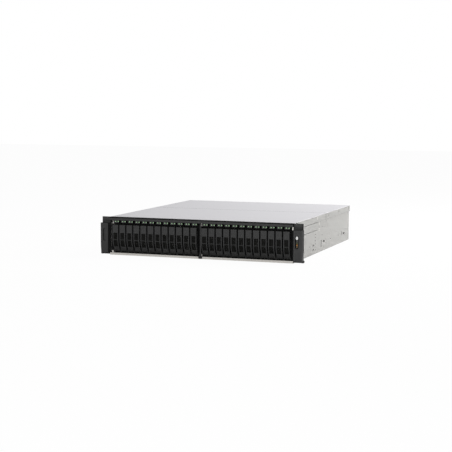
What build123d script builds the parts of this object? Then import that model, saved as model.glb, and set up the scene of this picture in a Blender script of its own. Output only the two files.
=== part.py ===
"""Rack-mount storage server, two rack units high, with 24 front bays for 2.5 inch drives.

X runs to the right of someone facing the front, Y runs to the rear and Z runs up.  The origin
is under the middle of the whole object, on the surface that it stands on.
"""
import os
from math import cos, radians, sin

from build123d import *

# Driving dimensions, in millimetres
BODY_WIDTH = 436.7          # over the flanges of the top covers
BODY_HEIGHT = 87.0
BODY_DEPTH = 505.4          # from the front of the drive levers to the rear wall
HANDLE_REACH = 28.0         # power supply handles behind the rear wall
EAR_OVERHANG = 22.95        # rack ear past each side of the body
HOLE_INSET_X = 8.75         # rack screws, from the outer edge of the ears
HOLE_INSET_Z = 5.4          # rack screws, from the top and from the bottom

# Sheets and clearances
BASE_SHEET = 1.2
COVER_SHEET = 1.0
INNER_SHEET = 1.0
RUNNING_GAP = 0.05          # pins in their holes
FIT_GAP = 0.15              # between sheets that lie along each other
SLIDE_GAP = 0.3             # between pieces that slide past each other
SEAM = 0.5                  # between the front and rear covers

# Bays and drive trays
BAYS_PER_GROUP = 12
LEVER_BAYS = (0, 11, 12, 23)    # bays whose lever is a node of its own
BAY_MARGIN = 5.835          # from the inside of the group to the outside of the walls
GROUP_GAP = 8.25            # extra space between the two groups of bays
TRAY_SPACING = 1.67         # between neighbouring trays
LEVER_SPACING = 3.47        # between neighbouring levers
TRAY_BOTTOM = 5.4
TRAY_HEADROOM = 2.35        # from the top of a tray to the beam
RAIL_SHEET = 1.0
RAIL_END = 2.0              # end of the rails before the end of the drive
CARRIER_DEPTH = 14.6        # from the front plane to the frame of the tray
CARRIER_PLATE = 1.6
CARRIER_RIM = 2.5
CARRIER_HEAD = 9.0
TILE_DEPTH = 8.0            # lamp tile behind the front plane
TILE_HEIGHT = 6.1
TILE_LEFT = 6.2
TILE_RIGHT = 5.0
LENS_X = (-3.9, 2.6)        # light pipes, from the middle of the tray
LENS_HOLE = 3.0
LENS_DROP = 3.1             # light pipes under the top of the tile
PIPE_REACH = 0.5
PIPE_PROUD = 0.2
DRIVE_LENGTH = 100.2
DRIVE_THICKNESS = 9.5
DRIVE_SETBACK = 5.0
DRIVE_CHAMFER = 1.0
CHEEK = 0.8                 # walls of the tray frame that hold the pin
CHEEK_FRONT = 2.2
CHEEK_TOP = 2.6

# Levers
LEVER_DROP = 4.2            # finger gap under the tile
LEVER_WALL = 2.0
LEVER_CHEEK = 1.2
LEVER_FOOT_DROP = 2.0       # foot under the pin
FOOT_RECESS = 10.0          # how far the foot curves back from the face
KNEE_RECESS = 3.6
KNEE_SHARE = 0.23           # heights of the curve, in parts of the lever's height
CURVE_SHARE = 0.49
PIVOT_SETBACK = 2.6
PIVOT_RISE = 4.4
PIN_RADIUS = 1.0
KNUCKLE_RADIUS = 2.1
HINGE_RELIEF = 4.0
HEAD_DEPTH = 6.0
HEAD_SLOPE = 12.0
WINDOW_FRAME = 1.9
WINDOW_TOP = 18.0           # from the top of the lever
WINDOW_SHARE = 0.248
WINDOW_BAR = 1.6

# Sheet metal body
WALL_SETBACK = 14.4
LIP_SETBACK = 2.5
LIP_HEIGHT = 5.0
TOP_FLANGE = 9.0
TAB_SETBACK = 8.0           # bright tabs beside the bays
TAB_HEIGHT = 6.6
TAB_LOW = 3.4
COVER_FLANGE = 14.7
COVER_ROUND = 0.8
COVER_SPLIT = 274.0         # depth of the seam between the front and rear covers
COVER_LIP = 3.6             # rear cover past the rear wall
COVER_LIP_INSET = 8.0
SCREW_DEPTHS = (302.0, 397.0, 497.0)
SCREW_DROP = 6.5
SCREW_DIAMETER = 6.0
SCREW_HEAD = 0.5
RAIL_Z = 21.4
RAIL_HOLE = 5.2
RAIL_DEPTHS = (256.5, 449.3)
KEY_SLOT_LENGTH = 9.0
KEY_SLOT_WIDTH = 3.2
SMALL_HOLE = 2.6
SMALL_HOLE_DEPTHS = (323.2, 397.0)
HOOK_SLOT_WIDTH = 6.6
HOOK_SLOTS = ((235.5, 19.0, 16.0), (426.8, 23.2, 11.0))    # depth, height of the middle, length

# Front frame
BEAM_HEIGHT = 7.1
BEAM_DEPTH = 10.0
BEAM_STEP_HEIGHT = 1.9
BEAM_STEP_DEPTH = 2.5
BEAM_ROUND = 0.5
JAMB_FRONT = 9.0
JAMB_STEP = 11.5
JAMB_REAR = 14.0
JAMB_TOP_CUT = 7.6
POST_SETBACK = 5.0
POST_WEB_FRONT = 12.0
POST_GAP = 0.8
POST_BAR = 2.4
POST_FOOT = ((-1.0, 7.0), (1.0, 4.0), (1.0, 5.3))
POST_LEAN_TOP = 15.0
CAGE_SETBACK = 17.0
CAGE_SIDE_GAP = 0.45
DIVIDER = 1.0
RIB_HEIGHT = 2.4
RIB_MARGIN = (1.0, 4.0)

# Rack ears
EAR_GAP = 1.1               # from the wall to the raised block
EAR_BEVEL = (3.1, 4.0)      # inner bevel: across, deep
EAR_FACE_INSET = 5.5        # front face inside the edge of the panel
EAR_PLATE_INSET = 2.7
EAR_SIDE_DEPTH = 5.0
EAR_PLATE_BACK = 11.0
EAR_PLATE_SHEET = 2.0
EAR_PLATE_LOW = 1.0
EAR_TOP_DROP = 0.5
EAR_BLOCK_BOTTOM = 4.0
EAR_BLOCK_DROP = 14.5       # raised block under the top of the body
EAR_TAPER = (26.0, 2.9)     # lower outer corner: height, width
EAR_CHAMFER = 0.8
CAP_SETBACK = 6.0
CAP_INSET = 4.9
CAP_HEIGHT = 7.0
BAND_SETBACK = 7.8
EAR_FOOT = (6.4, 5.6, 2.0)  # width, height, rounding
EAR_FOOT_FRONT = 6.0
PIN_NUB = (1.2, 1.8)        # radius and height of the pin on the right ear
PIN_NUB_INSET = (17.6, 2.4)
PILL_WIDTH = 7.8
PILL_HEIGHT = 29.0
PILL_DROP = 40.7
PILL_DEPTH = 2.4
PILL_RIGHT_INSET = 15.0
PILL_LEFT_INSET = 11.7
BUTTON_WIDTH = 4.8
BUTTON_HEIGHT = 7.8
BUTTON_RISE = 9.3
BUTTON_PROUD = 1.4
BUTTON_TRAVEL = 1.0
LENS_SIZE = 2.2
LENS_PROUD = 0.4
LENS_RISES = (1.3, -2.3, -6.1, -9.9)

# Rack brackets
BRACKET_GAP = 0.1
BRACKET_LEG = 1.0
BRACKET_DEPTH = 203.0
BRACKET_LOW = 3.0
BRACKET_FLANGE_LOW = 1.5
BRACKET_GROOVE = 1.0
BRACKET_GROOVE_Z = 54.0
BRACKET_GROOVE_FRONT = 16.0
RACK_SLOT_LENGTH = 10.0
RACK_SLOT_WIDTH = 6.8
BRACKET_HOLES = ((159.4, 22.0), (157.5, 11.7))
BRACKET_HOLE = 4.6
DIMPLE_DEPTH = 180.0
DIMPLE_HEIGHTS = (45.6, 38.7, 31.0, 24.1, 16.6, 10.3)
DIMPLE_SIZE = (3.4, 2.0)

# Fans
FAN_HEADROOM = 3.45
FAN_DEPTH = 38.0
FAN_SIDE_SPACE = 17.2
FAN_COUNT = 4
FAN_FRONT = 152.0
FAN_RIM = 2.0
FAN_CORNER = 4.0
ROTOR_TIP_GAP = 3.0
HUB_DIAMETER = 34.0
HUB_SETBACK = 4.0
HUB_SHORTER = 10.0
CUP_WALL = 6.0
SHAFT_DIAMETER = 8.0
SHAFT_SETBACK = 14.0
STRUT = 4.0
STRUT_WIDTH = 3.0
STRUT_LENGTH = 25.0
BLADE_COUNT = 7
BLADE_THICKNESS = 1.6
BLADE_ROOT = 1.5
BLADE_CHORD = 0.42          # half the blade's width, in parts of the hub's length
BLADE_CAMBER = ((-0.8, 1.0), (0.13, 0.09), (0.5, -1.0))     # in parts of that half width
FAN_WALL_FOOT = 10.0

# Circuit boards and their fittings
PLANE_HEADROOM = 5.85
PLANE_SHEET = 2.4
PLANE_SIDE_GAP = 2.0
PLANE_SLOT_WIDTH = 7.0
PLANE_SLOT_MARGIN = (8.6, 7.25)
CONNECTOR_DEPTH = 5.0
CONNECTOR_WIDTH = 6.0
CONNECTOR_HEIGHT = 42.0
CONNECTOR_RISE = 6.6
BOARD_SHEET = 1.6
BOARD_Z = 8.0
BOARD_LEFT_SPACE = 95.2
BOARD_RIGHT_SPACE = 11.2
BOARD_LENGTH = 241.2
STANDOFF_RADIUS = 3.0
STANDOFF_SHARE = (0.457, 0.435)
SHROUD_SHEET = 1.6
SHROUD_SETBACK = 14.0
SHROUD_LENGTH = 160.0
SHROUD_HALF = 104.0
SHROUD_X = -8.0
SHROUD_HEADROOM = 7.85
SHROUD_CHAMFER = 14.0
SINK_X = -10.0
SINK_SETBACK = 68.0
SINK_LENGTH = 90.0
SINK_WIDTH = 90.0
SINK_FOOT = 50.0
SINK_STEPS = (6.0, 5.0)
FIN_HEIGHT = 46.0
FIN_COUNT = 19
FIN_SHEET = 0.8
MEMORY_COUNT = 4
MEMORY_FIRST_X = 52.0
MEMORY_PITCH = 10.0
MEMORY_SETBACK = 4.0
MEMORY_LENGTH = 141.0
MEMORY_END = 4.0
MEMORY_SOCKET = (6.6, 6.0)
MEMORY_SHEET = 1.3
MEMORY_HEIGHT = 33.0

# Rear wall
SLOT_PITCH = 20.32
SLOT_COUNT = 4
SLOT_SPACE = 93.2           # first expansion slot, from the right wall
SLOT_OPENING = 14.0
SLOT_HEIGHT = 66.0
SLOT_Z = 44.0
SLOT_COVER_WIDTH = 18.0
SLOT_COVER_MARGIN = (2.0, 3.0)
CARD_LENGTH = 165.0
CARD_RISE = (11.0, 67.0)
CARD_SOCKET = (7.4, 45.0, 130.0)
CARD_SINK = (8.2, 60.0, 110.0, 22.0, 60.0)
PORT_PITCH = 17.0
PORT_COUNT = 4
PORT_FIRST_SPACE = 62.0     # first network socket, from the left edge of the board
PORT_WIDTH = 16.0
PORT_HEIGHT = 13.6
PORT_LENGTH = 21.0
PORT_PROUD = 0.5
JACK = (11.8, 12.0, 3.4, 11.0)      # width, depth, low and high edge
USB_SPACE = 24.0
USB_WIDTH = 14.4
USB_HEIGHT = 15.6
USB_LENGTH = 18.0
USB_OPENING = (12.4, 5.2)
USB_LEVELS = (1.4, 8.6)
VENT_X = -8.0
VENT_Z = 55.0
VENT_PITCH = 9.0
VENT_COLUMNS = 18
VENT_ROWS = 4
VENT_RADIUS = 3.6

# Power supplies
PSU_WIDTH = 73.5
PSU_LENGTH = 185.0
PSU_SPACE = 45.2            # middle of the supplies, from the left wall
PSU_HEADROOM = 3.55
PSU_CAGE_REACH = 10.0
EDGE_PLUG = (12.0, 40.0, 9.0, 12.0, 1.6)
INLET_OFFSET = 18.0
INLET_SIZE = (24.0, 16.4, 2.0)
INLET_DEPTH = 14.0
HANDLE_ROD = 5.0
HANDLE_SPAN = 34.0
HANDLE_BEND = 8.0
HANDLE_SHIFT = 2.0
LATCH_TRAVEL = 2.5
LATCH_WIDTH = 6.0
LATCH_HEIGHT = 12.0
LATCH_RISE = 3.0
LATCH_DEPTH = 8.0
LATCH_PROUD = 2.0
LATCH_TAB = (1.6, 8.0)
OVERCUT = 1.0               # cuts start this far outside the surface

# Places worked out from the sizes above
PANEL_WIDTH = BODY_WIDTH + 2 * EAR_OVERHANG
FRONT = -(BODY_DEPTH + HANDLE_REACH) / 2
REAR = FRONT + BODY_DEPTH
WALL_X = BODY_WIDTH / 2 - COVER_SHEET - FIT_GAP
WALL_INNER = WALL_X - BASE_SHEET
COVER_UNDER = BODY_HEIGHT - COVER_SHEET
WALL_TOP = COVER_UNDER - FIT_GAP
FLANGE_LOW = BODY_HEIGHT - COVER_FLANGE
REAR_INNER = REAR - BASE_SHEET
BAY_COUNT = 2 * BAYS_PER_GROUP
BAY_PITCH = (2 * (WALL_X - BAY_MARGIN) - GROUP_GAP) / BAY_COUNT
BAY_EDGE = WALL_X - BAY_MARGIN
LEVER_WIDTH = BAY_PITCH - LEVER_SPACING
TRAY_WIDTH = BAY_PITCH - TRAY_SPACING
BEAM_TOP = BODY_HEIGHT - SLIDE_GAP
BEAM_BOTTOM = BEAM_TOP - BEAM_HEIGHT
TRAY_TOP = BEAM_BOTTOM - TRAY_HEADROOM
DRIVE_BOTTOM = TRAY_BOTTOM + RAIL_SHEET
DRIVE_TOP = TRAY_TOP - RAIL_SHEET
CARRIER_FRONT = FRONT + CARRIER_DEPTH
CARRIER_BACK = CARRIER_FRONT + CARRIER_PLATE
DRIVE_FRONT = CARRIER_BACK + DRIVE_SETBACK
DRIVE_REAR = DRIVE_FRONT + DRIVE_LENGTH
CAGE_FRONT = FRONT + CAGE_SETBACK
CAGE_TOP = TRAY_TOP + SLIDE_GAP
CAGE_BOTTOM = TRAY_BOTTOM - SLIDE_GAP
TILE_TOP = BEAM_BOTTOM - SLIDE_GAP
TILE_BOTTOM = TILE_TOP - TILE_HEIGHT
LENS_Z = TILE_TOP - LENS_DROP
LEVER_TOP = TILE_BOTTOM - LEVER_DROP
PIVOT_Y = CARRIER_FRONT - PIVOT_SETBACK
PIVOT_Z = TRAY_BOTTOM + PIVOT_RISE
LEVER_FOOT = PIVOT_Z - LEVER_FOOT_DROP
LEVER_SPAN = LEVER_TOP - LEVER_FOOT
PLANE_FRONT = DRIVE_REAR + CONNECTOR_DEPTH + SLIDE_GAP
CAGE_REAR = PLANE_FRONT - FIT_GAP
EAR_INNER = WALL_X + EAR_GAP
EAR_FACE_INNER = EAR_INNER + EAR_BEVEL[0]
EAR_FACE_OUTER = PANEL_WIDTH / 2 - EAR_FACE_INSET
EAR_PLATE_EDGE = PANEL_WIDTH / 2 - EAR_PLATE_INSET
EAR_TOP = BODY_HEIGHT - EAR_TOP_DROP
EAR_BLOCK_TOP = BODY_HEIGHT - EAR_BLOCK_DROP
EAR_BACK = FRONT + EAR_PLATE_BACK
PILL_Z = BODY_HEIGHT - PILL_DROP
PILL_RIGHT_X = PANEL_WIDTH / 2 - PILL_RIGHT_INSET
PILL_LEFT_X = PANEL_WIDTH / 2 - PILL_LEFT_INSET
BUTTON_Z = PILL_Z + BUTTON_RISE
FAN_SIZE = WALL_TOP - 2 * BASE_SHEET - FAN_HEADROOM
FAN_BORE = FAN_SIZE - 2 * FAN_RIM
ROTOR_DIAMETER = FAN_BORE - 2 * ROTOR_TIP_GAP
FAN_PITCH = 2 * (WALL_X - FAN_SIDE_SPACE) / FAN_COUNT
FAN_Z = BASE_SHEET + SLIDE_GAP + FAN_SIZE / 2
BOARD_TOP = BOARD_Z + BOARD_SHEET
BOARD_LEFT = BOARD_LEFT_SPACE - WALL_X
BOARD_RIGHT = WALL_X - BOARD_RIGHT_SPACE
BOARD_REAR = REAR_INNER - INNER_SHEET
BOARD_START = BOARD_REAR - BOARD_LENGTH
SLOT_FIRST_X = WALL_X - SLOT_SPACE
PORT_FIRST_X = BOARD_LEFT + PORT_FIRST_SPACE
PORT_Z = BOARD_TOP + PORT_HEIGHT / 2
USB_X = PORT_FIRST_X - USB_SPACE
PSU_X = PSU_SPACE - WALL_X
PSU_BOTTOM = BASE_SHEET + SLIDE_GAP
PSU_TOP = WALL_TOP - PSU_HEADROOM
PSU_HEIGHT = (PSU_TOP - PSU_BOTTOM - 2 * SLIDE_GAP - COVER_SHEET) / 2
PSU_BOTTOMS = (PSU_BOTTOM, PSU_TOP - PSU_HEIGHT)
PSU_FRONT = REAR - PSU_LENGTH


def bay_x(bay):
    """Middle of a bay, counted from 0 at the left."""
    side = -1 if bay < BAYS_PER_GROUP else 1
    steps = bay - (BAY_COUNT - 1) / 2
    return steps * BAY_PITCH + side * GROUP_GAP / 2


def block(x0, x1, y0, y1, z0, z1, mode=Mode.ADD):
    """Add or cut a rectangular block between two corners in the part being built."""
    with Locations(((x0 + x1) / 2, (y0 + y1) / 2, (z0 + z1) / 2)):
        Box(abs(x1 - x0), y1 - y0, z1 - z0, mode=mode)


def square_bar(x, y0, y1, z, size, mode=Mode.ADD):
    """Add or cut a bar of square section that runs front to rear."""
    block(x - size / 2, x + size / 2, y0, y1, z - size / 2, z + size / 2, mode)


def write(label, *pieces):
    """Write one node, whose pieces stay separate solids."""
    node = pieces[0] if len(pieces) == 1 else Compound(children=list(pieces))
    node.label = label
    export_step(node, f"parts/{label}.step")


def mirrored(piece):
    """The same piece for the other side of the chassis."""
    return piece.mirror(Plane.YZ)


# Drive trays
def make_carrier():
    """Moulded front frame with two long rails that hold the drive from above and below."""
    half = TRAY_WIDTH / 2
    rail_rear = DRIVE_REAR - RAIL_END
    height = TRAY_TOP - TRAY_BOTTOM
    with BuildPart() as carrier:
        with BuildSketch(Plane.XZ.offset(-CARRIER_FRONT)):
            with Locations((0, TRAY_BOTTOM + height / 2)):
                Rectangle(TRAY_WIDTH, height)
                Rectangle(TRAY_WIDTH - 2 * CARRIER_RIM, height - 2 * CARRIER_HEAD, mode=Mode.SUBTRACT)
        extrude(amount=-CARRIER_PLATE)
        block(-half, half, CARRIER_BACK, rail_rear, TRAY_BOTTOM, DRIVE_BOTTOM)
        block(-half, half, CARRIER_BACK, rail_rear, DRIVE_TOP, TRAY_TOP)
        block(-TILE_LEFT, TILE_RIGHT, FRONT + TILE_DEPTH, CARRIER_BACK, TILE_BOTTOM, TILE_TOP)
        for lens_x in LENS_X:
            square_bar(lens_x, FRONT + TILE_DEPTH, CARRIER_BACK, LENS_Z, LENS_HOLE, Mode.SUBTRACT)
        for side in (-1, 1):
            block(side * half, side * (half - CHEEK), PIVOT_Y - CHEEK_FRONT, CARRIER_FRONT,
                  TRAY_BOTTOM, PIVOT_Z + CHEEK_TOP)
        with Locations(Location((0, PIVOT_Y, PIVOT_Z), (0, 90, 0))):
            Cylinder(PIN_RADIUS + RUNNING_GAP, TRAY_WIDTH, mode=Mode.SUBTRACT)
    return carrier.part


def make_drive():
    """2.5 inch drive with the plug end towards the backplane."""
    half = DRIVE_THICKNESS / 2
    with BuildPart() as drive:
        block(-half, half, DRIVE_FRONT, DRIVE_REAR, DRIVE_BOTTOM, DRIVE_TOP)
        chamfer(drive.edges().filter_by(Axis.Z).group_by(Axis.Y)[0], DRIVE_CHAMFER)
    return drive.part


def make_light_pipes():
    """Two clear light pipes, from the drive's activity lamps to the front of the tray."""
    pipes = []
    for lens_x in LENS_X:
        with BuildPart() as pipe:
            square_bar(lens_x, FRONT + TILE_DEPTH - PIPE_PROUD, CARRIER_BACK + PIPE_REACH, LENS_Z,
                       LENS_HOLE - 2 * RUNNING_GAP)
        pipes.append(pipe.part)
    return pipes


def make_lever():
    """Front lever: a curved channel, open at the back, that turns on a pin at its foot."""
    half = LEVER_WIDTH / 2
    hinge_half = TRAY_WIDTH / 2 - CHEEK - SLIDE_GAP
    window_half = half - WINDOW_FRAME
    window_height = LEVER_SPAN * WINDOW_SHARE
    high = (FRONT, LEVER_FOOT + LEVER_SPAN * CURVE_SHARE)
    knee = (FRONT + KNEE_RECESS, LEVER_FOOT + LEVER_SPAN * KNEE_SHARE)
    foot = (FRONT + FOOT_RECESS, LEVER_FOOT)
    hinge_top = PIVOT_Z + HINGE_RELIEF
    with BuildPart() as lever:
        with BuildSketch(Plane.YZ.offset(-half)):
            with BuildLine():
                Line((FRONT, LEVER_TOP), high)
                upper = TangentArc(high, knee, tangent=(0, -1))
                TangentArc(knee, foot, tangent=upper % 1)
                Polyline(foot, (PIVOT_Y, LEVER_FOOT), (PIVOT_Y + PIN_RADIUS, hinge_top),
                         (CARRIER_FRONT - SLIDE_GAP, LEVER_TOP - HEAD_SLOPE),
                         (FRONT + HEAD_DEPTH, LEVER_TOP), (FRONT, LEVER_TOP))
            make_face()
        extrude(amount=LEVER_WIDTH)
        with BuildSketch(Plane.YZ.offset(-half + LEVER_CHEEK)):
            with BuildLine():
                Polyline((FRONT + LEVER_WALL, LEVER_TOP - LEVER_WALL), (FRONT + LEVER_WALL, high[1]),
                         (knee[0] + LEVER_WALL, knee[1]), (PIVOT_Y - PIN_RADIUS, hinge_top),
                         (CARRIER_FRONT, hinge_top), (CARRIER_FRONT, LEVER_TOP - LEVER_WALL), close=True)
            make_face()
        extrude(amount=LEVER_WIDTH - 2 * LEVER_CHEEK, mode=Mode.SUBTRACT)
        for drop in (0, window_height + WINDOW_BAR):
            top = LEVER_TOP - WINDOW_TOP - drop
            block(-window_half, window_half, FRONT - OVERCUT, CARRIER_FRONT, top - window_height, top,
                  Mode.SUBTRACT)
        for side in (-1, 1):
            block(side * (half + OVERCUT), side * hinge_half, PIVOT_Y - CHEEK_FRONT - SLIDE_GAP,
                  CARRIER_FRONT, LEVER_FOOT - OVERCUT, PIVOT_Z + CHEEK_TOP + SLIDE_GAP, Mode.SUBTRACT)
        with Locations(Location((0, PIVOT_Y, PIVOT_Z), (0, 90, 0))):
            Cylinder(KNUCKLE_RADIUS, 2 * hinge_half)
            Cylinder(PIN_RADIUS, TRAY_WIDTH - 2 * FIT_GAP)
    return lever.part


# Sheet metal body
def cut_keyhole(depth, height, diameter):
    """Keyhole in the sketch of a side wall: a round head with a narrow slot to the rear."""
    with Locations((depth, height)):
        Circle(diameter / 2)
    with Locations((depth + KEY_SLOT_LENGTH / 2, height)):
        SlotOverall(KEY_SLOT_LENGTH + KEY_SLOT_WIDTH, KEY_SLOT_WIDTH)


def make_chassis_base():
    """Floor, side walls with turned-in tops and rear wall, with its cut-outs, folded from one sheet."""
    wall_front = FRONT + WALL_SETBACK
    lip_front = FRONT + LIP_SETBACK
    lower, upper = PSU_BOTTOMS[0] - SLIDE_GAP, PSU_TOP + SLIDE_GAP
    with BuildPart() as base:
        with BuildSketch(Plane.XZ.offset(-wall_front)):
            with Locations((0, WALL_TOP / 2)):
                Rectangle(2 * WALL_X, WALL_TOP)
                Rectangle(2 * WALL_INNER, WALL_TOP - 2 * BASE_SHEET, mode=Mode.SUBTRACT)
            with Locations((0, WALL_TOP - BASE_SHEET / 2)):
                Rectangle(2 * (WALL_X - TOP_FLANGE), BASE_SHEET, mode=Mode.SUBTRACT)
        extrude(amount=-(REAR - wall_front))
        block(-WALL_X, WALL_X, lip_front, wall_front, 0, BASE_SHEET)
        block(-WALL_X, WALL_X, lip_front, lip_front + BASE_SHEET, 0, LIP_HEIGHT)
        block(-WALL_X, WALL_X, REAR_INNER, REAR, 0, WALL_TOP)
        for side in (-1, 1):
            block(side * WALL_X, side * WALL_INNER, FRONT + TAB_SETBACK, wall_front,
                  BEAM_BOTTOM - TAB_HEIGHT, BEAM_BOTTOM - SLIDE_GAP)
        with BuildSketch(Plane.XZ.offset(-REAR)):
            with Locations((PSU_X, (lower + upper) / 2)):
                Rectangle(PSU_WIDTH + 2 * SLIDE_GAP, upper - lower)
            with Locations((PORT_FIRST_X + (PORT_COUNT - 1) * PORT_PITCH / 2, PORT_Z)):
                with GridLocations(PORT_PITCH, 0, PORT_COUNT, 1):
                    Rectangle(PORT_WIDTH + 2 * FIT_GAP, PORT_HEIGHT + 2 * FIT_GAP)
            with Locations((USB_X, BOARD_TOP + USB_HEIGHT / 2)):
                Rectangle(USB_WIDTH + 2 * FIT_GAP, USB_HEIGHT + 2 * FIT_GAP)
            for slot in range(SLOT_COUNT):
                with Locations((slot_x(slot), SLOT_Z)):
                    Rectangle(SLOT_OPENING, SLOT_HEIGHT)
            with Locations((VENT_X, VENT_Z)):
                with GridLocations(VENT_PITCH, VENT_PITCH, VENT_COLUMNS, VENT_ROWS):
                    RegularPolygon(VENT_RADIUS, 6)
        extrude(amount=BASE_SHEET, mode=Mode.SUBTRACT)
        for side in (Plane.YZ.offset(WALL_X), Plane.YZ.offset(BASE_SHEET - WALL_X)):
            with BuildSketch(side):
                for depth, height, length in HOOK_SLOTS:
                    with Locations((FRONT + depth, height)):
                        SlotOverall(length, HOOK_SLOT_WIDTH, rotation=90)
                for depth in RAIL_DEPTHS:
                    cut_keyhole(FRONT + depth, RAIL_Z, RAIL_HOLE)
                for depth in SMALL_HOLE_DEPTHS:
                    with Locations((FRONT + depth, RAIL_Z)):
                        Circle(SMALL_HOLE / 2)
            extrude(amount=-BASE_SHEET, mode=Mode.SUBTRACT)
    return base.part


def make_cover(y_front, y_rear):
    """Top cover sheet with rounded folds and side flanges that lie over the walls of the base."""
    with BuildPart() as cover:
        with BuildSketch(Plane.XZ.offset(-y_front)):
            with Locations((0, BODY_HEIGHT - COVER_FLANGE / 2)):
                Rectangle(BODY_WIDTH, COVER_FLANGE)
            with Locations((0, COVER_UNDER - COVER_FLANGE / 2)):
                Rectangle(BODY_WIDTH - 2 * COVER_SHEET, COVER_FLANGE, mode=Mode.SUBTRACT)
        extrude(amount=y_front - y_rear)
        fillet(cover.edges().filter_by(Axis.Y).group_by(Axis.Z)[-1], COVER_ROUND)
    return cover


def make_front_cover():
    """Fixed cover over the drives, notched behind the rack ears."""
    ear_back = EAR_BACK + EAR_PLATE_SHEET + SLIDE_GAP
    with make_cover(FRONT + BEAM_DEPTH + FIT_GAP, FRONT + COVER_SPLIT - SEAM / 2) as cover:
        for side in (-1, 1):
            block(side * (WALL_X - SLIDE_GAP), side * (BODY_WIDTH / 2 + OVERCUT), FRONT, ear_back,
                  0, BODY_HEIGHT + OVERCUT, Mode.SUBTRACT)
    return cover.part


def make_rear_cover():
    """Sliding service cover, with a lip that closes over the rear wall."""
    lip_rear = REAR + COVER_LIP
    lip_half = BODY_WIDTH / 2 - COVER_LIP_INSET
    with make_cover(FRONT + COVER_SPLIT + SEAM / 2, lip_rear) as cover:
        block(-lip_half, lip_half, lip_rear - COVER_SHEET, lip_rear, PSU_TOP + SLIDE_GAP, COVER_UNDER)
    return cover.part


def make_cover_screws():
    """Flat screws in the side flanges of the rear cover."""
    screws = []
    for depth in SCREW_DEPTHS:
        for side in (-1, 1):
            middle = side * (BODY_WIDTH / 2 + SCREW_HEAD / 2)
            with BuildPart() as screw:
                with Locations(Location((middle, FRONT + depth, BODY_HEIGHT - SCREW_DROP), (0, 90, 0))):
                    Cylinder(SCREW_DIAMETER / 2, SCREW_HEAD)
            screws.append(screw.part)
    return screws


def make_front_frame():
    """Moulded frame round the bays: stepped top beam, two jambs and the post between the groups."""
    low = LIP_HEIGHT + SLIDE_GAP
    jamb = (BAY_EDGE - CAGE_SIDE_GAP + BASE_SHEET + SLIDE_GAP, WALL_INNER - SLIDE_GAP)
    post = GROUP_GAP / 2 - POST_GAP
    foot_x, foot_y, foot_z = POST_FOOT
    with BuildPart() as frame:
        with BuildSketch(Plane.YZ.offset(-WALL_X)):
            with BuildLine():
                Polyline((FRONT, BEAM_BOTTOM), (FRONT, BEAM_TOP - BEAM_STEP_HEIGHT),
                         (FRONT + BEAM_STEP_DEPTH, BEAM_TOP - BEAM_STEP_HEIGHT),
                         (FRONT + BEAM_STEP_DEPTH, BEAM_TOP), (FRONT + BEAM_DEPTH, BEAM_TOP),
                         (FRONT + BEAM_DEPTH, BEAM_BOTTOM), close=True)
            make_face()
        extrude(amount=2 * WALL_X)
        fillet(frame.edges().filter_by(Axis.X).group_by(Axis.Y)[0], BEAM_ROUND)
        for side in (-1, 1):
            block(side * jamb[0], side * jamb[1], FRONT + JAMB_FRONT, FRONT + JAMB_STEP,
                  low, BEAM_BOTTOM - JAMB_TOP_CUT)
            block(side * jamb[0], side * jamb[1], FRONT + JAMB_STEP, FRONT + JAMB_REAR,
                  low, BEAM_BOTTOM + OVERCUT)
            block(side * jamb[0], side * jamb[1], FRONT + BEAM_DEPTH - OVERCUT, FRONT + JAMB_REAR,
                  BEAM_BOTTOM, BEAM_BOTTOM + OVERCUT)
        block(-post, post, FRONT + POST_WEB_FRONT, FRONT + JAMB_REAR, low, BEAM_BOTTOM + OVERCUT)
        block(post - POST_BAR, post, FRONT + POST_SETBACK, FRONT + JAMB_REAR, low, BEAM_BOTTOM)
        block(-post, post, FRONT + POST_SETBACK, FRONT + JAMB_REAR, BEAM_BOTTOM - OVERCUT,
              BEAM_BOTTOM + OVERCUT)
        with BuildSketch(Plane.YZ.offset(post - POST_BAR)):
            with BuildLine():
                Polyline((FRONT + foot_y[0], low), (FRONT + JAMB_STEP, low),
                         (FRONT + POST_SETBACK, POST_LEAN_TOP), close=True)
            make_face()
        extrude(amount=POST_BAR)
        block(foot_x[0], foot_x[1], FRONT + foot_y[0], FRONT + LIP_SETBACK, foot_z[0], foot_z[1])
    return frame.part


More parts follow.
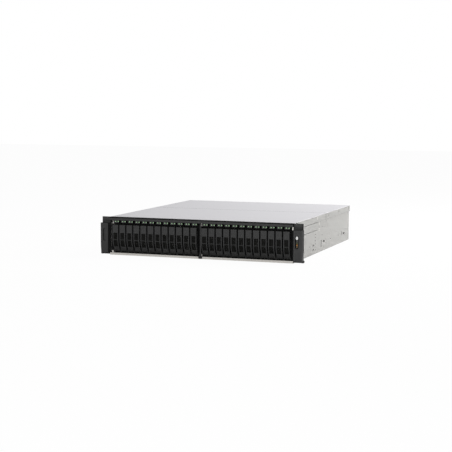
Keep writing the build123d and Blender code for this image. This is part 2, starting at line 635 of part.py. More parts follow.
def make_drive_cage():
    """Steel cage with guide ribs above and below each tray and bright tabs beside the groups."""
    inner = BAY_EDGE - CAGE_SIDE_GAP
    outer = inner + BASE_SHEET
    tab_front = FRONT + TAB_SETBACK
    rib_rows = ((CAGE_BOTTOM, CAGE_BOTTOM + RIB_HEIGHT), (CAGE_TOP - RIB_HEIGHT, CAGE_TOP))
    with BuildPart() as cage:
        block(-WALL_INNER, WALL_INNER, CAGE_FRONT, CAGE_REAR, CAGE_BOTTOM - BASE_SHEET, CAGE_BOTTOM)
        block(-outer, outer, CAGE_FRONT, CAGE_REAR, CAGE_TOP, CAGE_TOP + BASE_SHEET)
        for side in (-1, 1):
            block(side * inner, side * outer, CAGE_FRONT, CAGE_REAR, BASE_SHEET, CAGE_TOP + BASE_SHEET)
            block(side * (GROUP_GAP - DIVIDER) / 2, side * (GROUP_GAP + DIVIDER) / 2, CAGE_FRONT, CAGE_REAR,
                  CAGE_BOTTOM, CAGE_TOP)
            block(side * inner, side * outer, tab_front, CAGE_FRONT, TAB_LOW, TAB_LOW + TAB_HEIGHT)
            block(side * inner, side * outer, tab_front, CAGE_FRONT, CAGE_TOP - TAB_HEIGHT, CAGE_TOP)
            block(side * (GROUP_GAP - DIVIDER) / 2, side * (GROUP_GAP + DIVIDER) / 2, tab_front, CAGE_FRONT,
                  CAGE_BOTTOM, TAB_LOW + TAB_HEIGHT)
        for bay in range(BAY_COUNT - 1):
            if bay == BAYS_PER_GROUP - 1:
                continue
            rib = bay_x(bay) + BAY_PITCH / 2
            for bottom, top in rib_rows:
                block(rib - DIVIDER / 2, rib + DIVIDER / 2, CAGE_FRONT + RIB_MARGIN[0],
                      CAGE_REAR - RIB_MARGIN[1], bottom, top)
    return cage.part


# Rack ears
def make_rack_bracket():
    """Right-hand steel angle: rack flange with two screw slots and a long leg along the wall."""
    inner = WALL_X + BRACKET_GAP
    leg_rear = FRONT + BRACKET_DEPTH
    flange_rear = EAR_BACK + EAR_PLATE_SHEET
    leg_top = FLANGE_LOW - BRACKET_GROOVE
    with BuildPart() as bracket:
        with BuildSketch(Plane.XY.offset(BRACKET_LOW)):
            with BuildLine():
                Polyline((inner, EAR_BACK), (EAR_PLATE_EDGE, EAR_BACK), (EAR_PLATE_EDGE, flange_rear),
                         (inner + BRACKET_LEG, flange_rear), (inner + BRACKET_LEG, leg_rear),
                         (inner, leg_rear), close=True)
            make_face()
        extrude(amount=leg_top - BRACKET_LOW)
        block(inner, EAR_PLATE_EDGE, EAR_BACK, flange_rear, BRACKET_FLANGE_LOW, EAR_TOP - EAR_TOP_DROP)
        with BuildSketch(Plane.XZ.offset(-EAR_BACK)):
            with Locations((PANEL_WIDTH / 2 - HOLE_INSET_X, BODY_HEIGHT / 2)):
                with GridLocations(0, BODY_HEIGHT - 2 * HOLE_INSET_Z, 1, 2):
                    SlotOverall(RACK_SLOT_LENGTH, RACK_SLOT_WIDTH)
        extrude(amount=-EAR_PLATE_SHEET, mode=Mode.SUBTRACT)
        with BuildSketch(Plane.YZ.offset(inner)):
            with Locations(((FRONT + BRACKET_GROOVE_FRONT + leg_rear) / 2, BRACKET_GROOVE_Z)):
                Rectangle(leg_rear - FRONT - BRACKET_GROOVE_FRONT, BRACKET_GROOVE)
            for depth, height in BRACKET_HOLES:
                cut_keyhole(FRONT + depth, height, BRACKET_HOLE)
            for height in DIMPLE_HEIGHTS:
                with Locations((FRONT + DIMPLE_DEPTH, height)):
                    Rectangle(*DIMPLE_SIZE)
        extrude(amount=BRACKET_LEG, mode=Mode.SUBTRACT)
    return bracket.part


def make_ear_cover(pill_x, with_controls):
    """Right-hand moulded ear cover: plate, bare cap, sunk band and the raised block with its recess."""
    plate_front = EAR_BACK - EAR_PLATE_SHEET
    inner = WALL_X + SLIDE_GAP
    cap_bottom = EAR_TOP - CAP_HEIGHT
    side_edge = (PANEL_WIDTH / 2, FRONT + EAR_SIDE_DEPTH)
    foot_width, foot_height, foot_round = EAR_FOOT
    taper_top = EAR_BLOCK_BOTTOM + EAR_TAPER[0]
    with BuildPart() as ear:
        with BuildSketch(Plane.XY.offset(EAR_BLOCK_BOTTOM)):
            with BuildLine():
                Polyline((EAR_PLATE_EDGE, EAR_BACK), (inner, EAR_BACK), (inner, FRONT + EAR_BEVEL[1]),
                         (EAR_FACE_INNER, FRONT), (EAR_FACE_OUTER, FRONT))
                TangentArc((EAR_FACE_OUTER, FRONT), side_edge, tangent=(1, 0))
                Line(side_edge, (EAR_PLATE_EDGE, EAR_BACK))
            make_face()
        extrude(amount=EAR_BLOCK_TOP - EAR_BLOCK_BOTTOM)
        with BuildSketch(Plane.XZ.offset(-FRONT)):
            with BuildLine():
                Polyline((PANEL_WIDTH / 2 + OVERCUT, taper_top), (PANEL_WIDTH / 2, taper_top),
                         (PANEL_WIDTH / 2 - EAR_TAPER[1], EAR_BLOCK_BOTTOM),
                         (PANEL_WIDTH / 2 + OVERCUT, EAR_BLOCK_BOTTOM), close=True)
            make_face()
        extrude(amount=-(EAR_PLATE_BACK - EAR_PLATE_SHEET), mode=Mode.SUBTRACT)
        with BuildSketch(Plane.YZ.offset(inner)):
            for end, inward in ((EAR_BLOCK_TOP, -EAR_CHAMFER), (EAR_BLOCK_BOTTOM, EAR_CHAMFER)):
                with BuildLine():
                    Polyline((FRONT, end + inward), (FRONT + EAR_CHAMFER, end), (FRONT, end), close=True)
                make_face()
        extrude(amount=PANEL_WIDTH / 2 - inner, mode=Mode.SUBTRACT)
        block(inner, EAR_PLATE_EDGE, plate_front, EAR_BACK, EAR_PLATE_LOW, EAR_TOP)
        with BuildSketch(Plane.YZ.offset(EAR_INNER)):
            with BuildLine():
                Polyline((FRONT + CAP_SETBACK, EAR_TOP), (FRONT + CAP_SETBACK, cap_bottom),
                         (FRONT + BAND_SETBACK, cap_bottom), (FRONT + BAND_SETBACK, EAR_BLOCK_TOP),
                         (plate_front, EAR_BLOCK_TOP), (plate_front, EAR_TOP), close=True)
            make_face()
        extrude(amount=PANEL_WIDTH / 2 - CAP_INSET - EAR_INNER)
        with BuildSketch(Plane.XZ.offset(-(FRONT + EAR_FOOT_FRONT))):
            with Locations((PANEL_WIDTH / 2 - foot_width / 2, EAR_PLATE_LOW + foot_height / 2)):
                RectangleRounded(foot_width, foot_height, foot_round)
        extrude(amount=-(EAR_PLATE_BACK - EAR_FOOT_FRONT))
        with BuildSketch(Plane.XZ.offset(-FRONT)):
            with Locations((pill_x, PILL_Z)):
                SlotOverall(PILL_HEIGHT, PILL_WIDTH, rotation=90)
        extrude(amount=-PILL_DEPTH, mode=Mode.SUBTRACT)
        if with_controls:
            with Locations((PANEL_WIDTH / 2 - PIN_NUB_INSET[0], EAR_BACK - PIN_NUB_INSET[1],
                            EAR_TOP + PIN_NUB[1] / 2)):
                Cylinder(PIN_NUB[0], PIN_NUB[1])
            with BuildSketch(Plane.XZ.offset(-(FRONT + PILL_DEPTH))):
                with Locations((pill_x, BUTTON_Z)):
                    Ellipse(BUTTON_WIDTH / 2 + SLIDE_GAP, BUTTON_HEIGHT / 2 + SLIDE_GAP)
                for rise in LENS_RISES:
                    with Locations((pill_x, PILL_Z + rise)):
                        Rectangle(LENS_SIZE + 2 * FIT_GAP, LENS_SIZE + 2 * FIT_GAP)
            extrude(amount=-(EAR_PLATE_BACK - PILL_DEPTH), mode=Mode.SUBTRACT)
    return ear.part


def make_power_button():
    """Oval push button that a switch behind it pushes outwards."""
    face = FRONT + PILL_DEPTH - BUTTON_PROUD
    with BuildPart() as button:
        with BuildSketch(Plane.XZ.offset(-face)):
            with Locations((PILL_RIGHT_X, BUTTON_Z)):
                Ellipse(BUTTON_WIDTH / 2, BUTTON_HEIGHT / 2)
        extrude(amount=-(EAR_BACK - BUTTON_TRAVEL - SLIDE_GAP - face))
    return button.part


def make_status_lenses():
    """Four indicator lenses under the power button."""
    lenses = []
    for rise in LENS_RISES:
        with BuildPart() as lens:
            square_bar(PILL_RIGHT_X, FRONT + PILL_DEPTH - LENS_PROUD, EAR_BACK, PILL_Z + rise, LENS_SIZE)
        lenses.append(lens.part)
    return lenses


# Electronics behind the drives
def make_backplane():
    """Upright circuit board with an air slot between neighbouring drive connectors."""
    rear = PLANE_FRONT + PLANE_SHEET
    half = WALL_INNER - PLANE_SIDE_GAP
    with BuildPart() as board:
        block(-half, half, PLANE_FRONT, rear, BASE_SHEET, WALL_TOP - PLANE_HEADROOM)
        for bay in range(BAY_COUNT - 1):
            if bay == BAYS_PER_GROUP - 1:
                continue
            slot = bay_x(bay) + BAY_PITCH / 2
            block(slot - PLANE_SLOT_WIDTH / 2, slot + PLANE_SLOT_WIDTH / 2, PLANE_FRONT, rear,
                  TRAY_BOTTOM + PLANE_SLOT_MARGIN[0], TRAY_TOP - PLANE_SLOT_MARGIN[1], Mode.SUBTRACT)
    return board.part


def make_backplane_connectors():
    """One upright socket for each drive."""
    low = TRAY_BOTTOM + CONNECTOR_RISE
    with BuildPart() as socket:
        block(-CONNECTOR_WIDTH / 2, CONNECTOR_WIDTH / 2, PLANE_FRONT - CONNECTOR_DEPTH, PLANE_FRONT,
              low, low + CONNECTOR_HEIGHT)
    return [socket.part.moved(Location((bay_x(bay), 0, 0))) for bay in range(BAY_COUNT)]


def fan_x(fan):
    """Middle of a fan, counted from 0 at the left."""
    return (fan - (FAN_COUNT - 1) / 2) * FAN_PITCH


def make_fan_wall():
    """Sheet metal partition with a round opening behind each fan and a foot on the floor."""
    wall_front = FRONT + FAN_FRONT + FAN_DEPTH + FIT_GAP
    top = FAN_Z + FAN_SIZE / 2 + FAN_RIM
    half = WALL_INNER - SLIDE_GAP
    with BuildPart() as wall:
        with BuildSketch(Plane.XZ.offset(-wall_front)):
            with Locations((0, (BASE_SHEET + top) / 2)):
                Rectangle(2 * half, top - BASE_SHEET)
            with Locations((0, FAN_Z)):
                with GridLocations(FAN_PITCH, 0, FAN_COUNT, 1):
                    Circle(FAN_BORE / 2, mode=Mode.SUBTRACT)
        extrude(amount=-INNER_SHEET)
        block(-half, half, wall_front, wall_front + FAN_WALL_FOOT, BASE_SHEET, BASE_SHEET + INNER_SHEET)
    return wall.part


def make_fan_frame(fan):
    """Square fan frame with a round bore, and four struts that carry the motor and its shaft."""
    front = FRONT + FAN_FRONT
    strut_middle = (HUB_DIAMETER + STRUT_LENGTH) / 2 - STRUT
    with BuildPart() as frame:
        with BuildSketch(Plane.XZ.offset(-front)):
            with Locations((fan_x(fan), FAN_Z)):
                RectangleRounded(FAN_SIZE, FAN_SIZE, FAN_CORNER)
                Circle(FAN_BORE / 2, mode=Mode.SUBTRACT)
        extrude(amount=-FAN_DEPTH)
        with BuildSketch(Plane.XZ.offset(STRUT - front - FAN_DEPTH)):
            with Locations((fan_x(fan), FAN_Z)):
                Circle(HUB_DIAMETER / 2)
                with PolarLocations(strut_middle, 4, start_angle=45):
                    Rectangle(STRUT_LENGTH, STRUT_WIDTH)
        extrude(amount=-STRUT)
        with BuildSketch(Plane.XZ.offset(-(front + SHAFT_SETBACK))):
            with Locations((fan_x(fan), FAN_Z)):
                Circle(SHAFT_DIAMETER / 2)
        extrude(amount=-(FAN_DEPTH - SHAFT_SETBACK - STRUT / 2))
    return frame.part


def make_fan_rotor(fan):
    """Hub cup on the motor shaft with curved blades set at a pitch."""
    hub_length = FAN_DEPTH - HUB_SHORTER
    hub_front = FRONT + FAN_FRONT + HUB_SETBACK
    hub_plane = Plane.XZ.offset(-hub_front)
    chord = hub_length * BLADE_CHORD
    curve = [(chord * across, chord * along) for across, along in BLADE_CAMBER]
    with BuildPart() as rotor:
        with BuildSketch(hub_plane):
            with Locations((fan_x(fan), FAN_Z)):
                Circle(HUB_DIAMETER / 2)
        extrude(amount=-hub_length)
        with BuildSketch(hub_plane.offset(-CUP_WALL)):
            with Locations((fan_x(fan), FAN_Z)):
                Circle(SHAFT_DIAMETER / 2 + SLIDE_GAP)
        extrude(amount=-hub_length, mode=Mode.SUBTRACT)
        for blade in range(BLADE_COUNT):
            turn = radians(360.0 / BLADE_COUNT * blade)
            side = Plane(origin=(fan_x(fan), hub_front + hub_length / 2, FAN_Z),
                         x_dir=(-sin(turn), 0, cos(turn)), z_dir=(cos(turn), 0, sin(turn)))
            with BuildSketch(side.offset(HUB_DIAMETER / 2 - BLADE_ROOT)):
                with BuildLine():
                    camber = ThreePointArc(*curve)
                    offset(camber, BLADE_THICKNESS / 2, side=Side.BOTH)
                make_face()
            extrude(amount=(ROTOR_DIAMETER - HUB_DIAMETER) / 2 + BLADE_ROOT)
    return rotor.part


def make_air_shroud():
    """Bent plastic duct that leads the air over the heatsink and memory."""
    front = FRONT + FAN_FRONT + FAN_DEPTH + SHROUD_SETBACK
    left, right = SHROUD_X - SHROUD_HALF, SHROUD_X + SHROUD_HALF
    high = WALL_TOP - SHROUD_HEADROOM
    with BuildPart() as shroud:
        with BuildSketch(Plane.XZ.offset(-front)):
            with BuildLine():
                Polyline((left, BOARD_TOP), (left, high - SHROUD_CHAMFER), (left + SHROUD_CHAMFER, high),
                         (right - SHROUD_CHAMFER, high), (right, high - SHROUD_CHAMFER), (right, BOARD_TOP))
                offset(amount=SHROUD_SHEET, side=Side.RIGHT)
            make_face()
        extrude(amount=-SHROUD_LENGTH)
        block(left - BASE_SHEET, right + BASE_SHEET, front - OVERCUT, BOARD_START + OVERCUT, 0,
              BOARD_TOP + SLIDE_GAP, Mode.SUBTRACT)
    return shroud.part


def make_motherboard():
    """Main circuit board on standoffs that are pressed into the chassis floor."""
    width = BOARD_RIGHT - BOARD_LEFT
    with BuildPart() as board:
        block(BOARD_LEFT, BOARD_RIGHT, BOARD_START, BOARD_REAR, BOARD_Z, BOARD_TOP)
        with BuildSketch(Plane.XY.offset(BASE_SHEET)):
            with Locations(((BOARD_LEFT + BOARD_RIGHT) / 2, (BOARD_START + BOARD_REAR) / 2)):
                with GridLocations(width * STANDOFF_SHARE[0], BOARD_LENGTH * STANDOFF_SHARE[1], 3, 3):
                    RegularPolygon(STANDOFF_RADIUS, 6)
        extrude(amount=BOARD_Z - BASE_SHEET)
    return board.part


def make_cpu_heatsink():
    """Processor cooler: stepped base plate with a row of upright fins along the air flow."""
    middle = BOARD_START + SINK_SETBACK
    fin_bottom = BOARD_TOP + sum(SINK_STEPS)
    fin_pitch = (SINK_WIDTH - FIN_SHEET) / (FIN_COUNT - 1)
    with BuildPart() as sink:
        with BuildSketch(Plane.XY.offset(BOARD_TOP)):
            with Locations((SINK_X, middle)):
                Rectangle(SINK_FOOT, SINK_FOOT)
        extrude(amount=SINK_STEPS[0])
        with BuildSketch(Plane.XY.offset(BOARD_TOP + SINK_STEPS[0])):
            with Locations((SINK_X, middle)):
                Rectangle(SINK_WIDTH, SINK_LENGTH)
        extrude(amount=SINK_STEPS[1])
        with BuildSketch(Plane.XY.offset(fin_bottom)):
            with Locations((SINK_X, middle)):
                with GridLocations(fin_pitch, 0, FIN_COUNT, 1):
                    Rectangle(FIN_SHEET, SINK_LENGTH)
        extrude(amount=FIN_HEIGHT)
    return sink.part


def make_memory_modules():
    """Memory modules in their sockets beside the processor."""
    front = BOARD_START + MEMORY_SETBACK
    width, height = MEMORY_SOCKET
    with BuildPart() as module:
        block(-width / 2, width / 2, front, front + MEMORY_LENGTH, BOARD_TOP, BOARD_TOP + height)
        block(-MEMORY_SHEET / 2, MEMORY_SHEET / 2, front + MEMORY_END, front + MEMORY_LENGTH - MEMORY_END,
              BOARD_TOP + height, BOARD_TOP + MEMORY_HEIGHT)
    return [module.part.moved(Location((MEMORY_FIRST_X + slot * MEMORY_PITCH, 0, 0)))
            for slot in range(MEMORY_COUNT)]


def slot_x(slot):
    """Middle of an expansion slot, counted from 0 at the left."""
    return SLOT_FIRST_X + slot * SLOT_PITCH


def make_slot_cover(slot):
    """Blank bracket that closes an expansion slot from inside."""
    half = SLOT_COVER_WIDTH / 2
    low = SLOT_Z - SLOT_HEIGHT / 2 - SLOT_COVER_MARGIN[0]
    high = SLOT_Z + SLOT_HEIGHT / 2 + SLOT_COVER_MARGIN[1]
    with BuildPart() as cover:
        block(slot_x(slot) - half, slot_x(slot) + half, BOARD_REAR, REAR_INNER, low, high)
    return cover.part


def make_network_card():
    """Expansion card in its socket, with its heatsink."""
    x = slot_x(1)
    socket_width, socket_near, socket_far = CARD_SOCKET
    sink_width, sink_near, sink_far, sink_low, sink_high = CARD_SINK
    face = x + BOARD_SHEET / 2
    with BuildPart() as card:
        block(x - BOARD_SHEET / 2, face, REAR - CARD_LENGTH, BOARD_REAR,
              BOARD_TOP + CARD_RISE[0], BOARD_TOP + CARD_RISE[1])
        block(x - socket_width / 2, x + socket_width / 2, REAR - socket_far, REAR - socket_near,
              BOARD_TOP, BOARD_TOP + CARD_RISE[0])
        block(face, face + sink_width, REAR - sink_far, REAR - sink_near,
              BOARD_TOP + sink_low, BOARD_TOP + sink_high)
    return card.part


def make_io_ports():
    """Network sockets and a stacked pair of serial bus sockets on the rear edge of the board."""
    face = REAR + PORT_PROUD
    jack_width, jack_depth, jack_low, jack_high = JACK
    ports = []
    for port in range(PORT_COUNT):
        x = PORT_FIRST_X + port * PORT_PITCH
        with BuildPart() as socket:
            block(x - PORT_WIDTH / 2, x + PORT_WIDTH / 2, REAR - PORT_LENGTH, face,
                  BOARD_TOP, BOARD_TOP + PORT_HEIGHT)
            block(x - jack_width / 2, x + jack_width / 2, REAR - jack_depth, face,
                  BOARD_TOP + jack_low, BOARD_TOP + jack_high, Mode.SUBTRACT)
        ports.append(socket.part)
    with BuildPart() as stack:
        block(USB_X - USB_WIDTH / 2, USB_X + USB_WIDTH / 2, REAR - USB_LENGTH, face,
              BOARD_TOP, BOARD_TOP + USB_HEIGHT)
        for level in USB_LEVELS:
            block(USB_X - USB_OPENING[0] / 2, USB_X + USB_OPENING[0] / 2, REAR - jack_depth, face,
                  BOARD_TOP + level, BOARD_TOP + level + USB_OPENING[1], Mode.SUBTRACT)
    ports.append(stack.part)
    return ports


# Power supplies
def make_psu_cage():
    """Two walls, a front stop and a shelf that guide the power supplies."""
    inner = PSU_WIDTH / 2 + SLIDE_GAP
    outer = inner + INNER_SHEET
    shelf = PSU_BOTTOMS[1] - SLIDE_GAP
    top = PSU_TOP + SLIDE_GAP
    front, rear = PSU_FRONT - PSU_CAGE_REACH, REAR_INNER - FIT_GAP
    with BuildPart() as cage:
        for side in (-1, 1):
            block(PSU_X + side * inner, PSU_X + side * outer, front, rear, BASE_SHEET, top)
        block(PSU_X - outer, PSU_X + outer, front, rear, shelf - INNER_SHEET, shelf)
        block(PSU_X - outer, PSU_X + outer, front - INNER_SHEET, front, BASE_SHEET, top)
    return cage.part


def make_psu(low):
    """Power supply case with its power inlet, edge plug and the notch for its latch."""
    x0, x1 = PSU_X - PSU_WIDTH / 2, PSU_X + PSU_WIDTH / 2
    plug_start, plug_width, plug_reach, plug_rise, plug_sheet = EDGE_PLUG
    width, height, corner = INLET_SIZE
    with BuildPart() as psu:
        block(x0, x1, PSU_FRONT, REAR, low, low + PSU_HEIGHT)
        block(x0 + plug_start, x0 + plug_start + plug_width, PSU_FRONT - plug_reach, PSU_FRONT,
              low + plug_rise, low + plug_rise + plug_sheet)
        with BuildSketch(Plane.XZ.offset(-REAR)):
            with Locations((x0 + INLET_OFFSET, low + PSU_HEIGHT / 2)):
                RectangleRounded(width, height, corner)
        extrude(amount=INLET_DEPTH, mode=Mode.SUBTRACT)
        block(x1 - LATCH_WIDTH - LATCH_TRAVEL - 2 * SLIDE_GAP, x1 + OVERCUT, REAR - LATCH_DEPTH,
              REAR + OVERCUT, low + LATCH_RISE - SLIDE_GAP, low + LATCH_RISE + LATCH_HEIGHT + SLIDE_GAP,
              Mode.SUBTRACT)
    return psu.part


def make_psu_handle(low):
    """Bent rod handle screwed to the back of a power supply."""
    x = PSU_X - HANDLE_SHIFT
    reach = REAR + HANDLE_REACH - HANDLE_ROD / 2
    middle = low + PSU_HEIGHT / 2
    offset_z = (HANDLE_SPAN - HANDLE_ROD) / 2
    with BuildPart() as handle:
        with BuildLine() as path:
            FilletPolyline((x, REAR, middle - offset_z), (x, reach, middle - offset_z),
                           (x, reach, middle + offset_z), (x, REAR, middle + offset_z), radius=HANDLE_BEND)
        with BuildSketch(Plane.XZ.offset(-REAR)):
            with Locations((x, middle - offset_z)):
                Circle(HANDLE_ROD / 2)
        sweep(path=path.line)
    return handle.part


def make_psu_latch(low):
    """Sideways release tab that locks a power supply in its bay."""
    x1 = PSU_X + PSU_WIDTH / 2
    z0 = low + LATCH_RISE
    with BuildPart() as latch:
        block(x1 - LATCH_WIDTH, x1 - FIT_GAP, REAR - LATCH_DEPTH + SLIDE_GAP, REAR + LATCH_PROUD,
              z0, z0 + LATCH_HEIGHT)
        block(x1 - LATCH_WIDTH, x1 - LATCH_WIDTH + LATCH_TAB[0], REAR + LATCH_PROUD,
              REAR + LATCH_PROUD + LATCH_TAB[1], z0, z0 + LATCH_HEIGHT)
    return latch.part


def main():
    """Build every piece and write one file for each node."""
    os.makedirs("parts", exist_ok=True)
    write("chassis_base", make_chassis_base())
    write("front_cover", make_front_cover())
    write("rear_cover", make_rear_cover())
    write("cover_screws", *make_cover_screws())
    write("front_frame", make_front_frame())
    write("drive_cage", make_drive_cage())
    right_bracket = make_rack_bracket()
    write("rack_brackets", right_bracket, mirrored(right_bracket))
    write("left_ear_cover", mirrored(make_ear_cover(PILL_LEFT_X, False)))
    write("right_ear_cover", make_ear_cover(PILL_RIGHT_X, True))
    write("power_button", make_power_button())
    write("status_lenses", *make_status_lenses())

    tray_pieces = [make_carrier(), make_drive(), *make_light_pipes()]
    lever = make_lever()
    for bay in range(BAY_COUNT):
        place = Location((bay_x(bay), 0, 0))
        pieces = tray_pieces if bay in LEVER_BAYS else [*tray_pieces, lever]
        write(f"drive_tray_{bay + 1:02d}", *[piece.moved(place) for piece in pieces])
        if bay in LEVER_BAYS:
            write(f"tray_lever_{bay + 1:02d}", lever.moved(place))

    write("backplane", make_backplane())
    write("backplane_connectors", *make_backplane_connectors())
    write("fan_wall", make_fan_wall())
    write("fan_frames", *[make_fan_frame(fan) for fan in range(FAN_COUNT)])
    for fan in range(FAN_COUNT):
        write(f"fan_rotor_{fan + 1}", make_fan_rotor(fan))
    write("air_shroud", make_air_shroud())
    write("motherboard", make_motherboard())
    write("cpu_heatsink", make_cpu_heatsink())
    write("memory_modules", *make_memory_modules())
    write("slot_covers", *[make_slot_cover(slot) for slot in range(SLOT_COUNT)])
    write("network_card", make_network_card())
    write("io_ports", *make_io_ports())
    write("psu_cage", make_psu_cage())
    for number, low in enumerate(PSU_BOTTOMS, start=1):
        write(f"power_supply_{number}", make_psu(low), make_psu_handle(low))
        write(f"psu_latch_{number}", make_psu_latch(low))


if __name__ == "__main__":
    main()
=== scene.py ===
"""Looks of a two-unit rack storage server: finishes, drive grilles, lamps, screws, sockets and light.

Everything is in the frame of the construction: X to the right, Y to the rear, Z up.  Places are
given in millimetres, with depths counted from the front plane of the drive levers, and become
metres when a mesh is made.  A box is written as its x range, its depth range and its height range.
"""
from collections import namedtuple
from math import cos, pi, radians, sin

import bmesh
import bpy
import numpy as np
from mathutils import Matrix, Vector


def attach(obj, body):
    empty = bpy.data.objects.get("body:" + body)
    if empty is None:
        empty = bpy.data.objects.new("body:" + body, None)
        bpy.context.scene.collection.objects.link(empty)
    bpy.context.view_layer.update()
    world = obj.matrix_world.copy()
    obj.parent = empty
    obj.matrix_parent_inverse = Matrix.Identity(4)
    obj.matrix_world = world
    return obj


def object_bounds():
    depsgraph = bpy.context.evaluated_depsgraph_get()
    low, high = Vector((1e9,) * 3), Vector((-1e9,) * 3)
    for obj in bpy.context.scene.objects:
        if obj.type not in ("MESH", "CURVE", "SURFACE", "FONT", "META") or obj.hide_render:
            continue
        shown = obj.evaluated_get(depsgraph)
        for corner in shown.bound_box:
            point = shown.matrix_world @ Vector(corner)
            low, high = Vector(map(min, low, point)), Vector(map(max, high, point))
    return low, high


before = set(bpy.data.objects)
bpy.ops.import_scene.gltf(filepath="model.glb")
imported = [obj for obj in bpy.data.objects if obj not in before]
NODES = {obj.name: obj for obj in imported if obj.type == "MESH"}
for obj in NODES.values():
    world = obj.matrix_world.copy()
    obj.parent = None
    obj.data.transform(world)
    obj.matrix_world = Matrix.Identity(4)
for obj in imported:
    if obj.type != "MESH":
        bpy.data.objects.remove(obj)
CAD_BOX = [list(corner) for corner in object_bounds()]

MM = 0.001
FRONT = CAD_BOX[0][1] / MM

# Sizes shared with the construction
REAR = 505.4
TOP = 87.0
COVER_X = 218.35
WALL_X = 217.2
WALL_INNER = 216.0
BRACKET_X = 218.3
FLANGE_LOW = 72.3
SEAM = 274.0
BAY_COUNT = 24
BAY_PITCH = 17.27
GROUP_GAP = 8.25
LEVER_BAYS = (0, 11, 12, 23)
CURVE_TOP = 37.79
CURVE_RADIUS = 36.9
WINDOW_HALF = 5.0
WINDOW_TOPS = (51.0, 34.22)
WINDOW_HEIGHT = 15.18
DRIVE_FRONT = 21.2
DRIVE_SIDE = 4.75
PILL_X = {"right_ear_cover": 226.3, "left_ear_cover": -229.6}
LENS_HEIGHTS = (47.6, 44.0, 40.2, 36.4)
SCREW_DEPTHS = (302.0, 397.0, 497.0)
SCREW_Z = 80.5
SCREW_HEAD = 0.5
PORT_X = (-60.0, -43.0, -26.0, -9.0)
USB_X = -84.0
BOARD_TOP = 9.6
CARD_X = 144.32
PSU_LOWS = (1.5, 42.7)
PSU_MIDDLE = 19.8
INLET_X = -190.75

# Where the finishes of the construction's nodes change: single limits, ranges, and reaches to both
# sides of a middle.  SQUARE, TILTED and the other tilts are shares of a face's unit normal.
MARGIN = 0.1
SQUARE = 0.9
TILTED = 0.5
COVER_FACE_LOW = TOP - 0.9
SEAM_REACH = 0.6
LIP_DEPTH = 14.0
LIP_TOP = 5.1
BEAM_DEPTH = 14.3
BEAM_LOW = 70.0
SIDE_HOLES_FROM = 20.0
SIDE_HOLES_Z = (5.0, 60.0)
HOOK_SLOTS_Y = ((228.0, 243.0), (420.0, 434.0))
BRACKET_HOLES_Y = (15.0, 202.0)
BRACKET_GROOVE_Z = 54.0
BRACKET_GROOVE_REACH = 0.7
CAGE_FRONT = 17.5
LEFT_TAB_X = -200.0
LEFT_TAB_TOP = 78.0
POST_TAB_X = (3.0, 5.0)
POST_TAB_TOP = 10.2
FRAME_TOP_LOW = 84.7
FRAME_OPENING_TOP = 79.0
JAMB_X = 200.0
POST_REACH = 8.0
POST_BAR_X = (0.8, 3.4)
PILL_REACH = 4.2
PILL_Y = (0.1, 9.0)
PILL_Z = 46.3
PILL_REACH_UP = 15.0
BAND_DEPTH = 9.5
BAND_Z = (72.4, 79.6)
BEVEL_DEPTH = 4.0
BEVEL_END = 221.4
BEVEL_TILT = 0.4
EAR_SIDE_X = 230.0
EAR_SIDE_TILT = 0.35
LENS_REACH = 1.4
LEVER_DEPTH = 14.3
LEVER_TOP = 70.0
TILE_DEPTH = 8.1
TILE_LOW = 73.0
DRIVE_CASE_FRONT = DRIVE_FRONT + 1.1
DRIVE_CASE_REACH = DRIVE_SIDE + 0.05
DRIVE_CASE_Z = (6.5, 76.1)
PIPE_DEPTH = 7.9
PIPE_REACH = 1.5
SOCKETS_Y = (REAR - 12.1, REAR + 0.4)
CARD_FACE_X = CARD_X + 0.9
CARD_COOLER_LOW = BOARD_TOP + 20.0
CARD_SOCKET_TOP = BOARD_TOP + 10.9
MEMORY_SOCKET_TOP = BOARD_TOP + 6.1
INLET_REACH = 12.1
INLET_REACH_UP = 8.3
INLET_Y = (REAR - 14.1, REAR - 0.1)
PSU_CONTACTS_Y = REAR - 185.1

# Middle and reach in x, and height range over the board, of the sockets' openings
SOCKET_OPENINGS = ((USB_X, 6.3, 1.3, 13.9), *((x, 6.0, 3.3, 11.1) for x in PORT_X))

# Drives and trays, with x from the middle of a bay
GRILLE_CELLS = (5, 9)
GRILLE_SETBACK = 0.5
GRILLE_SHEET = 0.5
# A bar of painted shade across each lever, between its windows
LEVER_BAR = (-4.9, 4.9, 0.03, 0.4, WINDOW_TOPS[1] + 0.05, WINDOW_TOPS[1] + 1.55)
DRIVE_BOARD = (-5.8, -DRIVE_SIDE - 0.02, 66.0, 119.0, 11.0, 71.0)
DRIVE_CHIPS = ((-6.5, -5.8, 74.0, 88.0, 20.0, 34.0), (-6.5, -5.8, 74.0, 84.0, 44.0, 60.0),
               (-6.3, -5.8, 98.0, 110.0, 24.0, 32.0), (-6.3, -5.8, 98.0, 110.0, 38.0, 46.0))
DRIVE_LABEL = (DRIVE_SIDE + 0.02, DRIVE_SIDE + 0.12, 34.0, 104.0, 14.0, 69.0)
LAMP_X = (-2.3, 4.0)
LAMP_Z = 76.2
LAMP_HALF = 1.0
LAMP_Y = (7.1, 7.4)
# Grey plate round the lamps, lightened as painted light against the beam's shade
LAMP_TILE = (-6.1, 5.3, 7.35, 7.75, 73.4, 79.1)
